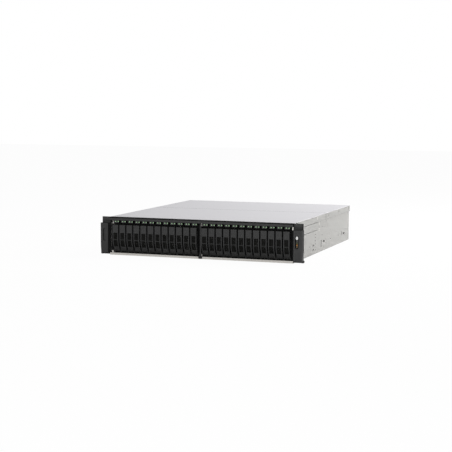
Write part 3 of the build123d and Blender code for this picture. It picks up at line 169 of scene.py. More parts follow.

# Both sides of the body.  Ribs: x of the face, how far they stand out, depth and height ranges.
# Holes: x of the face, depth, height, radius and number of corners.  The others: depth and height
# ranges, between two distances from the middle plane.
# The ribs are steel painted bright as highlights
SIDE_RIBS = ((COVER_X, 0.3, 198.2, 199.9, 77.3, 84.5), (WALL_X, 0.4, 215.6, 217.4, 64.3, 71.1),
             (WALL_X, 0.4, 213.7, 215.4, 50.0, 58.0))
# The holes are dark discs of painted shade
SIDE_HOLES = ((WALL_X, 280.0, 68.0, 1.5, 12), (WALL_X, 243.6, 57.6, 1.3, 12),
              (WALL_X, 244.4, 38.4, 1.3, 12), (BRACKET_X, 131.8, 21.4, 0.9, 12),
              (WALL_X, 159.4, 22.0, 2.25, 16), (WALL_X, 157.5, 11.7, 2.25, 16))
SIDE_HOLE_PROUD = 0.06
# Painted shade: strips in the gaps under the flange and in the bracket's groove, and backings behind the
# hook slots
SIDE_GAPS = ((17.0, 202.5, 53.75, 54.25), (17.0, 202.5, 71.35, 72.25), (204.0, 505.0, 71.8, 72.25))
SIDE_GAP_X = (WALL_X + 0.01, WALL_X + 0.07)
SLOT_BACKINGS = ((231.5, 239.5, 10.0, 28.0), (422.5, 431.0, 16.5, 30.0))
SLOT_BACKING_X = (WALL_INNER - 0.3, WALL_INNER - 0.05)
SLOT_TONGUES = ((232.6, 235.6, 12.5, 25.5), (423.8, 426.9, 19.5, 27.0))
SLOT_TONGUE_X = (WALL_INNER + 0.3, WALL_X - 0.05)

# Front: tabs beside the right ear, on the middle post and beside the left ear, and the pin's collar
# The tabs are bare steel painted bright as highlights
FRONT_TABS = ((215.45, 217.42, 3.0, 5.0, 72.4, 79.3), (3.55, 4.75, 8.2, 13.9, 72.6, 78.4),
              (-213.6, -210.9, 6.6, 7.9, 3.4, 10.0))
PIN_PLACE = (223.7, 8.6, 86.45)
PIN_COLLAR = ((1.9, 0.0), (1.9, 1.5), (1.5, 1.8))

# Screws: shares of the radius and of the height at each ring of a head, and of the radius in the cross
COVER_SCREW_RADIUS = 3.0
SCREW_DOME = ((1.0, 0.0), (1.0, 0.35), (0.8, 0.8), (0.35, 1.0))
CROSS_ARM = 0.5
CROSS_WIDTH = 0.14
CROSS_SUNK = 0.2
CROSS_PROUD = 0.03

# Rear wall and ports.  Names that end in YZ hold a depth and a height range.
REAR_SCREWS = tuple((x, z) for x in (-118.0, 96.0, 209.0) for z in (77.5, 8.0))
CONTACT_STEPS = (-3.5, -2.5, -1.5, -0.5, 0.5, 1.5, 2.5, 3.5)
CONTACT_PITCH = 1.02
CONTACT_HALF = 0.22
CONTACT_YZ = (REAR - 10.0, REAR - 2.0, BOARD_TOP + 10.0, BOARD_TOP + 11.05)
PORT_LAMP_X = (-5.2, 5.2)
PORT_LAMP_HALF = 1.3
PORT_LAMP_YZ = (REAR + 0.45, REAR + 0.7, BOARD_TOP + 11.7, BOARD_TOP + 13.1)
USB_TONGUE_HALF = 5.6
USB_TONGUE_Y = (REAR - 12.02, REAR - 1.5)
USB_TONGUES_Z = ((BOARD_TOP + 2.9, BOARD_TOP + 4.7), (BOARD_TOP + 10.1, BOARD_TOP + 11.9))
CARD_PORTS_Z = (28.0, 48.0)
CARD_PORT_HALF = (6.8, 5.0)
CARD_PORT_Y = (REAR - 2.2, REAR + 0.6)
CARD_PORT_WALL = 0.5
CARD_PORT_BACK = 0.3

# Power supplies, with heights over their underside, and the pins placed from the inlet's middle
PSU_GRILLE_X = (-169.0, -146.5)
PSU_GRILLE_Z = (3.5, 36.1)
PSU_GRILLE_CELLS = (9, 15)
PSU_GRILLE_FRONT = 0.12
PSU_GRILLE_SHEET = 0.6
PSU_GRILLE_HOLE = (0.84, 0.9)
# The dark backing behind the grille is painted shade
PSU_BACKING_EDGE = 0.2
PSU_BACKING_Y = (REAR + 0.01, REAR + 0.1)
PSU_PINS = ((-7.0, -1.5), (0.0, 2.0), (7.0, -1.5))
PSU_PIN_HALF = (1.0, 2.0)
PSU_PIN_Y = (REAR - 14.02, REAR - 3.0)
PSU_SCREWS = ((-204.5, 4.0), (-204.5, 35.6), (-180.0, 35.6))
PSU_SCREW_RADIUS = 2.2
PSU_SCREW_HEIGHT = 0.8
PSU_LAMP = (-140.0, 31.0)
PSU_LAMP_PROFILE = ((1.6, 0.0), (1.6, 0.3), (1.0, 0.7))
PSU_LAMP_CORNERS = 20

# Main board: coils, chips and the fins of a cooler
COIL_X = (-52.0, -41.0, -30.0, -19.0, -8.0)
COIL_SIZE = 8.0
COIL_YZ = (296.0, 304.0, BOARD_TOP, BOARD_TOP + 7.0)
BOARD_CHIPS = ((100.0, 130.0, 390.0, 420.0, BOARD_TOP, BOARD_TOP + 2.0),
               (-100.0, -84.0, 330.0, 350.0, BOARD_TOP, BOARD_TOP + 1.6),
               (60.0, 76.0, 440.0, 456.0, BOARD_TOP, BOARD_TOP + 1.6))
FIN_COUNT = 9
FIN_START = 20.0
FIN_PITCH = 3.6
FIN_SHEET = 1.2
FIN_YZ = (400.0, 436.0, BOARD_TOP, BOARD_TOP + 14.0)

# The photograph's camera, found from the edges of the body
CAMERA_PLACE = (957.219, -2525.079, 348.892)
CAMERA_YAW = radians(19.477)
CAMERA_PITCH = radians(5.812)
CAMERA_ROLL = radians(0.215)
CAMERA_FOCUS_PX = 1223.78
PHOTO_SIZE_PX = 452
SENSOR_MM = 36.0

# Light and floor, in metres: a lamp's name, place, target, size and power
LAMPS = (("key_lamp", (1.05, 0.8, 1.15), (0.0, 0.0, 0.05), 1.0, 23.0),
         ("side_lamp", (2.4, 1.0, 0.9), (0.1, 0.0, 0.05), 1.2, 5.0),
         ("front_lamp", (0.6, -2.6, 1.2), (0.0, -0.2, 0.05), 1.4, 17.0))
WORLD_LIGHT = 0.5
FLOOR_HALF = 6.0
FLOOR_DROP = 0.0002
FLOOR_GREY = 0.82
FLOOR_ROUGHNESS = 0.9
FLOOR_WHITE_SHARE = 0.96

# Shared effects: the scuffs, the half width and darkness of the lines of painted shade, and the height of
# the grain
SCUFF_STRETCH = (1.0, 0.03, 1.0)
SCUFF_SCALE = 1400.0
SCUFF_START = 0.62
SCUFF_CONTRAST = 8.0
SHADE_LINE_DARKNESS = 0.7
WALL_SHADE_HALF = 0.3
SEAM_SHADE_HALF = 0.9
GRAIN_RELIEF = 0.0002


def linear(red, green, blue):
    """Linear colour of a display colour given in 0 to 255 steps."""
    steps = np.array((red, green, blue)) / 255.0
    low = steps / 12.92
    high = ((steps + 0.055) / 1.055) ** 2.4
    return np.where(steps <= 0.04045, low, high).tolist()


# Shared effects
def group_with_sockets(name, inputs, outputs):
    """New shader node group with float inputs and outputs, with its two end nodes."""
    group = bpy.data.node_groups.new(name, "ShaderNodeTree")
    for label, value in inputs:
        socket = group.interface.new_socket(label, in_out="INPUT", socket_type="NodeSocketFloat")
        socket.default_value = value
    for label in outputs:
        group.interface.new_socket(label, in_out="OUTPUT", socket_type="NodeSocketFloat")
    return group, group.nodes.new("NodeGroupInput"), group.nodes.new("NodeGroupOutput")


def math_node(tree, operation, first, second=0.0):
    """Math node between two sockets or numbers, returning its output."""
    node = tree.nodes.new("ShaderNodeMath")
    node.operation = operation
    for place, value in enumerate((first, second)):
        if isinstance(value, (int, float)):
            node.inputs[place].default_value = value
        else:
            tree.links.new(value, node.inputs[place])
    return node.outputs[0]


def noise_node(tree, vector, scale, detail):
    """Noise at a place, with its scale from a socket or a number, returning its value."""
    noise = tree.nodes.new("ShaderNodeTexNoise")
    noise.inputs["Detail"].default_value = detail
    tree.links.new(vector, noise.inputs["Vector"])
    if isinstance(scale, float):
        noise.inputs["Scale"].default_value = scale
    else:
        tree.links.new(scale, noise.inputs["Scale"])
    return noise.outputs["Fac"]


def make_grain_group():
    """Moulded or rolled surface: fine grain for the bump, slow patches and thin scuffs along Y."""
    group, start, end = group_with_sockets(
        "surface_grain", (("Grain Scale", 2500.0), ("Patch Scale", 30.0), ("Patch Depth", 0.1)),
        ("Height", "Patches", "Scuffs"))
    place = group.nodes.new("ShaderNodeTexCoord").outputs["Object"]
    group.links.new(noise_node(group, place, start.outputs["Grain Scale"], detail=2.0), end.inputs["Height"])
    patch = noise_node(group, place, start.outputs["Patch Scale"], detail=4.0)
    scaled = math_node(group, "MULTIPLY", math_node(group, "SUBTRACT", patch, 0.5),
                       start.outputs["Patch Depth"])
    group.links.new(math_node(group, "ADD", scaled, 1.0), end.inputs["Patches"])
    stretch = group.nodes.new("ShaderNodeVectorMath")
    stretch.operation = "MULTIPLY"
    stretch.inputs[1].default_value = SCUFF_STRETCH
    group.links.new(place, stretch.inputs[0])
    scuff = noise_node(group, stretch.outputs[0], SCUFF_SCALE, detail=3.0)
    sharp = math_node(group, "MULTIPLY", math_node(group, "SUBTRACT", scuff, SCUFF_START), SCUFF_CONTRAST)
    group.links.new(math_node(group, "MINIMUM", math_node(group, "MAXIMUM", sharp, 0.0), 1.0),
                    end.inputs["Scuffs"])
    return group


def make_spangle_group():
    """Crystals of zinc plating: flat cells that differ a little in lightness, from -1 to 1."""
    group, start, end = group_with_sockets("zinc_spangle", (("Cell Scale", 160.0),), ("Spangle",))
    place = group.nodes.new("ShaderNodeTexCoord").outputs["Object"]
    cells = group.nodes.new("ShaderNodeTexVoronoi")
    group.links.new(place, cells.inputs["Vector"])
    group.links.new(start.outputs["Cell Scale"], cells.inputs["Scale"])
    parts = group.nodes.new("ShaderNodeSeparateColor")
    group.links.new(cells.outputs["Color"], parts.inputs["Color"])
    centred = math_node(group, "SUBTRACT", parts.outputs["Red"], 0.5)
    group.links.new(math_node(group, "MULTIPLY", centred, 2.0), end.inputs["Spangle"])
    return group


def make_shade_line_group():
    """Thin lines of painted shade along a folded edge: 1 within a half width of a depth or of a height."""
    group, start, end = group_with_sockets(
        "edge_painted_shade", (("Depth", 0.0), ("Depth Half", 0.0), ("Height", 0.0), ("Height Half", 0.0)),
        ("Painted Shade",))
    place = group.nodes.new("ShaderNodeTexCoord").outputs["Object"]
    parts = group.nodes.new("ShaderNodeSeparateXYZ")
    group.links.new(place, parts.inputs["Vector"])
    lines = []
    for axis, label in (("Y", "Depth"), ("Z", "Height")):
        away = math_node(group, "ABSOLUTE", math_node(group, "SUBTRACT", parts.outputs[axis],
                                                      start.outputs[label]))
        lines.append(math_node(group, "LESS_THAN", away, start.outputs[label + " Half"]))
    group.links.new(math_node(group, "MAXIMUM", *lines), end.inputs["Painted Shade"])
    return group


GRAIN = make_grain_group()
SPANGLE = make_spangle_group()
SHADE_LINES = make_shade_line_group()


def effect_node(tree, group, values):
    """Group node in a material with its inputs set."""
    node = tree.nodes.new("ShaderNodeGroup")
    node.node_tree = group
    for label, value in values.items():
        node.inputs[label].default_value = value
    return node.outputs


# Scale of the grain and strength of its bump, scale of the patches and how far they change the colour
Surface = namedtuple("Surface", "grain bump patches depth")


def finish(name, colour, roughness, metallic, surface, coat=0.0, glow=0.0, shine=0.5, scuffs=0.1,
           spangle=0.0, shade_line=None):
    """Material with the shared effects: patches, scuffs, crystals and lines of painted shade change the
    colour.

    The patches change the roughness too, and the grain makes the bump.
    """
    material = bpy.data.materials.new(name)
    material.use_nodes = True
    tree = material.node_tree
    shader = tree.nodes["Principled BSDF"]
    shader.inputs["Metallic"].default_value = metallic
    shader.inputs["Coat Weight"].default_value = coat
    shader.inputs["Specular IOR Level"].default_value = shine
    effect = effect_node(tree, GRAIN, {"Grain Scale": surface.grain, "Patch Scale": surface.patches,
                                       "Patch Depth": surface.depth})
    marks = math_node(tree, "MULTIPLY", effect["Scuffs"], scuffs)
    strength = math_node(tree, "ADD", effect["Patches"], marks)
    if spangle:
        crystals = effect_node(tree, SPANGLE, {})["Spangle"]
        strength = math_node(tree, "ADD", strength, math_node(tree, "MULTIPLY", crystals, spangle))
    # Painted shade: a darker line along the seam between the covers, or just under the flange's edge
    if shade_line:
        shade = effect_node(tree, SHADE_LINES, shade_line)["Painted Shade"]
        unshaded = math_node(tree, "SUBTRACT", 1.0, math_node(tree, "MULTIPLY", shade, SHADE_LINE_DARKNESS))
        strength = math_node(tree, "MULTIPLY", strength, unshaded)
    tint = tree.nodes.new("ShaderNodeVectorMath")
    tint.operation = "SCALE"
    tint.inputs[0].default_value = linear(*colour)
    tree.links.new(strength, tint.inputs["Scale"])
    tree.links.new(tint.outputs[0], shader.inputs["Base Color"])
    tree.links.new(math_node(tree, "MULTIPLY", effect["Patches"], roughness), shader.inputs["Roughness"])
    relief = tree.nodes.new("ShaderNodeBump")
    relief.inputs["Strength"].default_value = surface.bump
    relief.inputs["Distance"].default_value = GRAIN_RELIEF
    tree.links.new(effect["Height"], relief.inputs["Height"])
    tree.links.new(relief.outputs["Normal"], shader.inputs["Normal"])
    if glow:
        tree.links.new(tint.outputs[0], shader.inputs["Emission Color"])
        shader.inputs["Emission Strength"].default_value = glow
    return material


# Lines of painted shade: just under the flange's lower edge, and along the seam between the covers
WALL_SHADE_LINE = {"Height": (FLANGE_LOW - WALL_SHADE_HALF) * MM, "Height Half": WALL_SHADE_HALF * MM}
SEAM_SHADE_LINE = {"Depth": (FRONT + SEAM) * MM, "Depth Half": SEAM_SHADE_HALF * MM}
ROLLED = Surface(900.0, 0.06, 18.0, 0.06)
MOULDED = Surface(3200.0, 0.1, 60.0, 0.06)
COARSE = Surface(3200.0, 0.12, 60.0, 0.06)
HIDDEN = Surface(2200.0, 0.1, 40.0, 0.1)
LENS = Surface(3000.0, 0.02, 200.0, 0.2)

# Each finish: name, display colour, roughness, share of metal and surface
ZINC_SIDE = finish("zinc_sheet", (171, 170, 167), 0.46, 0.35, ROLLED, spangle=0.015, shade_line=WALL_SHADE_LINE)
ZINC_FLANGE = finish("zinc_flange_sheet", (171, 170, 167), 0.46, 0.35, ROLLED._replace(depth=0.05),
                     spangle=0.01, shade_line=SEAM_SHADE_LINE)
# Painted light: the covers' top faces are the same zinc sheet as their flanges, painted lighter
ZINC_TOP_LIT = finish("zinc_cover_top_painted_light", (212, 211, 214), 0.6, 0.1, Surface(900.0, 0.05, 9.0, 0.03), shine=0.3,
                  scuffs=0.03, spangle=0.006, shade_line=SEAM_SHADE_LINE)
# Painted light: the front lip of the chassis sheet, painted lighter than the rest of that sheet
ZINC_LIP_LIT = finish("zinc_lip_painted_light", (222, 219, 213), 0.5, 0.15, Surface(900.0, 0.05, 18.0, 0.05),
                  spangle=0.01)
# Painted shade: a darker copy of the zinc sheet for the cage, fan wall, supply cage and slot covers
ZINC_INNER_SHADED = finish("zinc_inner_painted_shade", (150, 150, 146), 0.5, 0.5, Surface(900.0, 0.06, 25.0, 0.1),
                    spangle=0.02)
BLACK_FRONT = finish("black_front_moulding", (45, 45, 45), 0.42, 0.0, COARSE)
BLACK_LEVER = finish("black_lever_moulding", (45, 45, 45), 0.42, 0.0, COARSE)
# Painted light: the right ear's bevel, lighter than the moulding it is part of
LIT_BEVEL = finish("black_bevel_painted_light", (84, 84, 84), 0.4, 0.0, MOULDED)
# Painted shade: darker black for the ears' recessed band and the bar across the levers
SHADE_BAND = finish("black_band_painted_shade", (32, 32, 32), 0.5, 0.0, MOULDED)
# The lamp tile's grey, lightened as painted light against the shade under the beam
TILE_GREY_LIT = finish("lamp_tile_grey_and_painted_light", (74, 74, 74), 0.5, 0.0, MOULDED)
# Painted light: the ears' right side faces, lighter than their fronts
LIT_EAR_SIDE = finish("black_ear_side_painted_light", (62, 62, 62), 0.5, 0.0, MOULDED)
# Black moulding of hidden parts, sockets and fans, used also as painted shade in recesses, grooves and on
# fronts that should read dark
BLACK_AND_SHADE = finish("black_moulding_and_painted_shade", (14, 14, 14), 0.7, 0.0, HIDDEN, shine=0.2)
# Painted shade: black for the gaps, holes, walls of cut-outs, screw crosses and backs of openings
SHADE_BLACK = finish("painted_shade_black", (6, 6, 6), 0.9, 0.0, HIDDEN, shine=0.0)
MESH_BLACK = finish("black_drive_grille", (30, 30, 28), 0.6, 0.0, Surface(3000.0, 0.1, 80.0, 0.1),
                    shine=0.15)
LAMP_GREEN = finish("green_lamp_lens", (146, 182, 138), 0.3, 0.0, LENS._replace(depth=0.1), glow=0.55)
LAMP_SMOKE = finish("smoked_lamp_lens", (120, 118, 114), 0.3, 0.0, LENS)
LAMP_OLIVE = finish("olive_lamp_lens", (98, 104, 62), 0.3, 0.0, LENS)
LAMP_AMBER = finish("amber_lamp_lens", (190, 128, 66), 0.3, 0.0, LENS, glow=0.2)
LAMP_TAN = finish("tan_lamp_lens", (160, 134, 96), 0.3, 0.0, LENS)
BUTTON_WHITE = finish("white_button", (236, 236, 234), 0.25, 0.0, Surface(3000.0, 0.02, 100.0, 0.02),
                      coat=0.5)
DRIVE_METAL = finish("drive_case_metal", (176, 177, 178), 0.34, 0.85, Surface(1200.0, 0.04, 30.0, 0.06))
LABEL_WHITE = finish("bare_label_sheet", (214, 214, 210), 0.5, 0.0, Surface(1800.0, 0.02, 60.0, 0.04))
# Painted highlight: bare steel of tabs and ribs, painted far brighter than the zinc sheet
STEEL_HIGHLIGHT = finish("steel_tab_painted_highlight", (238, 236, 230), 0.3, 0.3, Surface(1500.0, 0.04, 60.0, 0.06))
SCREW_STEEL = finish("screw_steel", (182, 181, 178), 0.3, 0.8, Surface(1500.0, 0.05, 120.0, 0.1))
BOARD_GREEN = finish("circuit_board", (24, 74, 44), 0.42, 0.0, Surface(1500.0, 0.05, 90.0, 0.25), coat=0.3)
CHIP_BLACK = finish("chip_case", (30, 30, 31), 0.55, 0.0, Surface(2200.0, 0.05, 90.0, 0.1))
CONTACT_GOLD = finish("gold_contact", (212, 176, 96), 0.25, 0.9, Surface(2200.0, 0.02, 90.0, 0.1))
PSU_SHEET = finish("supply_case_sheet", (186, 186, 184), 0.4, 0.7, Surface(900.0, 0.05, 22.0, 0.08))
SOCKET_TIN = finish("socket_tin", (190, 189, 184), 0.28, 0.9, Surface(1500.0, 0.05, 80.0, 0.1))
LATCH_GREEN = finish("latch_moulding", (38, 92, 60), 0.4, 0.0, Surface(3000.0, 0.08, 60.0, 0.08))
FIN_METAL = finish("cooler_fins", (188, 190, 192), 0.34, 0.8, Surface(1200.0, 0.05, 40.0, 0.06))


# Finishes of the construction's nodes
Faces = namedtuple("Faces", "x y z nx ny nz")


def faces_of(node):
    """Middle of each triangle of a node in millimetres, its depth from the front, and its direction."""
    polygons = NODES[node].data.polygons
    centres, normals = np.empty((2, len(polygons) * 3), np.float32)
    polygons.foreach_get("center", centres)
    polygons.foreach_get("normal", normals)
    x, y, z = centres.reshape(-1, 3).T / MM
    return Faces(x, y - FRONT, z, *normals.reshape(-1, 3).T)


def near(values, middle, reach):
    """Which values lie within a reach of a middle."""
    return np.abs(values - middle) < reach


def between(values, low, high):
    """Which values lie between two limits."""
    return (values > low) & (values < high)


def dress(material, *nodes):
    """Cover whole nodes with one material."""
    for node in nodes:
        mesh = NODES[node].data
        mesh.materials.clear()
        mesh.materials.append(material)
        mesh.polygons.foreach_set("material_index", np.zeros(len(mesh.polygons), np.int32))


def paint(node, material, chosen):
    """Give the chosen triangles of a node another material."""
    mesh = NODES[node].data
    if material.name not in mesh.materials:
        mesh.materials.append(material)
    indices = np.empty(len(mesh.polygons), np.int32)
    mesh.polygons.foreach_get("material_index", indices)
    indices[chosen] = mesh.materials.find(material.name)
    mesh.polygons.foreach_set("material_index", indices)


def bay_x(bay):
    """Middle of a bay, counted from 0 at the left."""
    side = -1 if bay < BAY_COUNT // 2 else 1
    return (bay - (BAY_COUNT - 1) / 2) * BAY_PITCH + side * GROUP_GAP / 2


def paint_body():
    """Sheet metal body: painted shade in the cut-outs, the seam, the gaps and on the inner parts, painted
    highlights on tabs at the front, and painted light on the cover tops and the front lip.
    """
    dress(ZINC_SIDE, "chassis_base", "rack_brackets")
    dress(ZINC_FLANGE, "front_cover", "rear_cover")
    dress(SCREW_STEEL, "cover_screws")
    # painted shade: these parts take the darker copy of the zinc
    dress(ZINC_INNER_SHADED, "drive_cage", "fan_wall", "psu_cage", "slot_covers")
    for node in ("front_cover", "rear_cover"):
        f = faces_of(node)
        # painted light: the covers' top faces take a lighter copy of their zinc sheet
        paint(node, ZINC_TOP_LIT, f.z > COVER_FACE_LOW)
        # painted shade in the seam between the covers and on the flange's lower edge
        paint(node, SHADE_BLACK, near(f.y, SEAM, SEAM_REACH) & (np.abs(f.ny) > SQUARE))
        paint(node, SHADE_BLACK, (f.z < FLANGE_LOW + MARGIN) & (f.nz < -SQUARE))
    f = faces_of("chassis_base")
    # painted shade on the walls of the side holes, and at the rear edge of the hook slots
    in_sheet = between(np.abs(f.x), WALL_INNER + MARGIN, WALL_X - MARGIN)
    slot = between(f.y, *HOOK_SLOTS_Y[0]) | between(f.y, *HOOK_SLOTS_Y[1])
    dark = (~slot | (f.ny < -TILTED)) & (f.y > SIDE_HOLES_FROM) & between(f.z, *SIDE_HOLES_Z)
    paint("chassis_base", SHADE_BLACK, in_sheet & dark)
    # painted light on the chassis sheet's front lip
    paint("chassis_base", ZINC_LIP_LIT, (f.y < LIP_DEPTH) & (f.z < LIP_TOP))
    # painted shade on the chassis sheet at the top of the front, behind the lamp tiles
    paint("chassis_base", BLACK_AND_SHADE, (f.y < BEAM_DEPTH) & (f.z > BEAM_LOW))
    f = faces_of("rack_brackets")
    # painted shade on the walls of the bracket's holes, but not in its groove
    in_sheet = (np.abs(f.x) < BRACKET_X - MARGIN / 2) & (np.abs(f.nx) < TILTED)
    dark = between(f.y, *BRACKET_HOLES_Y) & between(f.z, *SIDE_HOLES_Z)
    groove = near(f.z, BRACKET_GROOVE_Z, BRACKET_GROOVE_REACH)
    paint("rack_brackets", SHADE_BLACK, in_sheet & dark & ~groove)
    f = faces_of("drive_cage")
    front = f.y < CAGE_FRONT
    # painted shade on the front of the cage
    paint("drive_cage", BLACK_AND_SHADE, front)
    # painted highlights: tabs at the front of the cage, bare steel painted bright
    paint("drive_cage", STEEL_HIGHLIGHT, front & (f.x < LEFT_TAB_X) & (f.z < LEFT_TAB_TOP))
    paint("drive_cage", STEEL_HIGHLIGHT, front & between(f.x, *POST_TAB_X) & (f.z < POST_TAB_TOP))


def paint_front():
    """Black mouldings of the front with painted shade in recesses and painted light on the right ear's bevel
    and side, the button and the lenses.
    """
    dress(BLACK_FRONT, "front_frame", "left_ear_cover", "right_ear_cover")
    f = faces_of("front_frame")
    # painted shade in the groove at the top of the frame
    paint("front_frame", BLACK_AND_SHADE, f.z > FRAME_TOP_LOW)
    # painted shade in the recesses beside the post's bar and at the jambs
    post = near(f.x, 0.0, POST_REACH) & ~between(f.x, *POST_BAR_X)
    jambs = np.abs(f.x) > JAMB_X
    paint("front_frame", BLACK_AND_SHADE, (post | jambs) & (f.z < FRAME_OPENING_TOP))
    for node, pill in PILL_X.items():
        f = faces_of(node)
        recess = near(f.x, pill, PILL_REACH) & between(f.y, *PILL_Y) & near(f.z, PILL_Z, PILL_REACH_UP)
        # painted shade on the walls of the pill recesses, and over the whole recess of the right ear
        paint(node, BLACK_AND_SHADE, recess & ((np.abs(f.ny) < TILTED) | (pill > 0)))
        # painted shade on the recessed band near the top of the ears
        paint(node, SHADE_BAND, between(f.z, *BAND_Z) & (f.y < BAND_DEPTH))
        bevel = (f.y < BEVEL_DEPTH) & (np.abs(f.x) < BEVEL_END) & (np.abs(f.nx) > BEVEL_TILT)
        # the bevels: painted light on the right ear's, painted shade on the left ear's
        paint(node, LIT_BEVEL if pill > 0 else BLACK_AND_SHADE, bevel)
        # painted light on the right side faces of the ears
        paint(node, LIT_EAR_SIDE, (f.nx > EAR_SIDE_TILT) & (f.x > EAR_SIDE_X))
    dress(BUTTON_WHITE, "power_button")
    dress(LAMP_SMOKE, "status_lenses")
    f = faces_of("status_lenses")
    for material, height in zip((LAMP_OLIVE, LAMP_AMBER, LAMP_TAN), LENS_HEIGHTS[1:]):
        paint("status_lenses", material, near(f.z, height, LENS_REACH))


def paint_trays():
    """Trays: black frame and rails, metal drive whose front end stays black as painted shade, black lever,
    lamp tile lightened as painted light, and green lamps; levers of their own.
    """
    dress(BLACK_LEVER, *(node for node in NODES if node.startswith("tray_lever_")))
    for bay in range(BAY_COUNT):
        node = f"drive_tray_{bay + 1:02d}"
        dress(BLACK_AND_SHADE, node)
        f = faces_of(node)
        paint(node, BLACK_LEVER, (f.y < LEVER_DEPTH) & (f.z < LEVER_TOP))
        # the lamp tile's grey, lightened as painted light against the beam's shade
        paint(node, TILE_GREY_LIT, (f.y < TILE_DEPTH) & (f.z > TILE_LOW))
        # the drive's front end stays black as painted shade behind the grille windows
        case = near(f.x, bay_x(bay), DRIVE_CASE_REACH) & between(f.z, *DRIVE_CASE_Z)
        paint(node, DRIVE_METAL, case & (f.y > DRIVE_CASE_FRONT))
        paint(node, LAMP_GREEN, (f.y < PIPE_DEPTH) & near(f.z, LAMP_Z, PIPE_REACH))


def paint_inside():
    """Boards, fans, cooler, sockets and power supplies."""
    dress(BLACK_AND_SHADE, "backplane_connectors", "fan_frames", "air_shroud",
          *(node for node in NODES if node.startswith("fan_rotor_")))
    dress(BOARD_GREEN, "backplane", "motherboard", "memory_modules", "network_card")
    dress(FIN_METAL, "cpu_heatsink")
    dress(SOCKET_TIN, "io_ports")
    f = faces_of("io_ports")
    for x, reach, low, high in SOCKET_OPENINGS:
        opening = near(f.x, x, reach) & between(f.z, BOARD_TOP + low, BOARD_TOP + high)
        paint("io_ports", BLACK_AND_SHADE, opening & between(f.y, *SOCKETS_Y))
    f = faces_of("network_card")
    paint("network_card", FIN_METAL, (f.x > CARD_FACE_X) & (f.z > CARD_COOLER_LOW))
    paint("network_card", BLACK_AND_SHADE, f.z < CARD_SOCKET_TOP)
    f = faces_of("memory_modules")
    paint("memory_modules", BLACK_AND_SHADE, f.z < MEMORY_SOCKET_TOP)
    for number, low in enumerate(PSU_LOWS, start=1):
        supply = f"power_supply_{number}"
        dress(PSU_SHEET, supply)
        f = faces_of(supply)
        paint(supply, BLACK_AND_SHADE, f.y > REAR + MARGIN)
        inlet = near(f.x, INLET_X, INLET_REACH) & near(f.z, low + PSU_MIDDLE, INLET_REACH_UP)
        paint(supply, BLACK_AND_SHADE, inlet & between(f.y, *INLET_Y))
        paint(supply, CONTACT_GOLD, f.y < PSU_CONTACTS_Y)
        dress(LATCH_GREEN, f"psu_latch_{number}")


paint_body()
paint_front()
paint_trays()
paint_inside()


# Pieces that the construction leaves out
def add_piece(name, body, slot, *parts):
    """Mesh object that rides on a body, from parts of points, faces and the part's material."""
    points, faces, slots, materials = [], [], [], []
    for part_points, part_faces, material in parts:
        start = len(points)
        points += [tuple(point) for point in part_points]
        faces += [[start + index for index in face] for face in part_faces]
        if material not in materials:
            materials.append(material)
        slots += [materials.index(material)] * len(part_faces)
    mesh = bpy.data.meshes.new(name)
    mesh.from_pydata(((np.array(points) + (0.0, FRONT, 0.0)) * MM).tolist(), [], faces)
    for material in materials:
        mesh.materials.append(material)
    mesh.polygons.foreach_set("material_index", slots)
    solid = bmesh.new()
    solid.from_mesh(mesh)
    bmesh.ops.recalc_face_normals(solid, faces=solid.faces)
    solid.to_mesh(mesh)
    solid.free()
    piece = bpy.data.objects.new(name, mesh)
    bpy.context.collection.objects.link(piece)
    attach(piece, body)


def span(middle, half):
    """Range of a half width to both sides of a middle."""
    return middle - half, middle + half


def shifted(x, *corners):
    """Boxes moved along X."""
    return [(x + low, x + high, *rest) for low, high, *rest in corners]


def boxes(material, *corners):
    """Closed boxes, each with eight points and six faces."""
    points, faces = [], []
    for x0, x1, y0, y1, z0, z1 in corners:
        start = len(points)
        points += [(x, y, z) for z in (z0, z1) for y in (y0, y1) for x in (x0, x1)]
        faces += [[start + i for i in face] for face in
                  ((0, 2, 3, 1), (4, 5, 7, 6), (0, 1, 5, 4), (1, 3, 7, 5), (3, 2, 6, 7), (2, 0, 4, 6))]
    return points, faces, material


def side_boxes(material, side, low, high, *places):
    """Boxes between two distances from the middle plane, on one side of the body."""
    x0, x1 = sorted((side * low, side * high))
    return boxes(material, *((x0, x1, *place) for place in places))


def turned(material, place, axis, profile, segments=24):
    """Turned solid: the profile's radii and heights are swept round an axis through a place.

    The first and last radius are closed with flat ends.  Heights run along the axis.
    """
    angles = np.arange(segments) * 2 * pi / segments
    points, faces = [], []
    for radius, height in profile:
        for angle in angles:
            u, v = radius * cos(angle), radius * sin(angle)
            offset = {"x": (height, u, v), "y": (u, height, v), "z": (u, v, height)}[axis]
            points.append(tuple(a + b for a, b in zip(place, offset)))
    for ring in range(len(profile) - 1):
        for step in range(segments):
            a, b = ring * segments + step, ring * segments + (step + 1) % segments
            faces.append([a, b, b + segments, a + segments])
    faces.append(list(range(segments)))
    faces.append([len(points) - 1 - step for step in range(segments)])
    return points, faces, material


def screw_head(place, radius=3.0, height=1.2):
    """Domed screw head with painted shade in its cross, standing on a place and facing the rear."""
    dome = [(radius * across, height * up) for across, up in SCREW_DOME]
    return turned(SCREW_STEEL, place, "y", dome), cross_mark(place, "y", 1, height, radius)


def cross_mark(place, axis, side, height, radius):
    """Painted shade of a screw's cross drive: a dark cross a hair above its head."""
    x, y, z = place
    low, high = sorted((side * (height - CROSS_SUNK), side * (height + CROSS_PROUD)))
    arms = ((CROSS_ARM * radius, CROSS_WIDTH * radius), (CROSS_WIDTH * radius, CROSS_ARM * radius))
    if axis == "x":
        return boxes(SHADE_BLACK, *((x + low, x + high, *span(y, a), *span(z, b)) for a, b in arms))
    return boxes(SHADE_BLACK, *((*span(x, a), y + low, y + high, *span(z, b)) for a, b in arms))


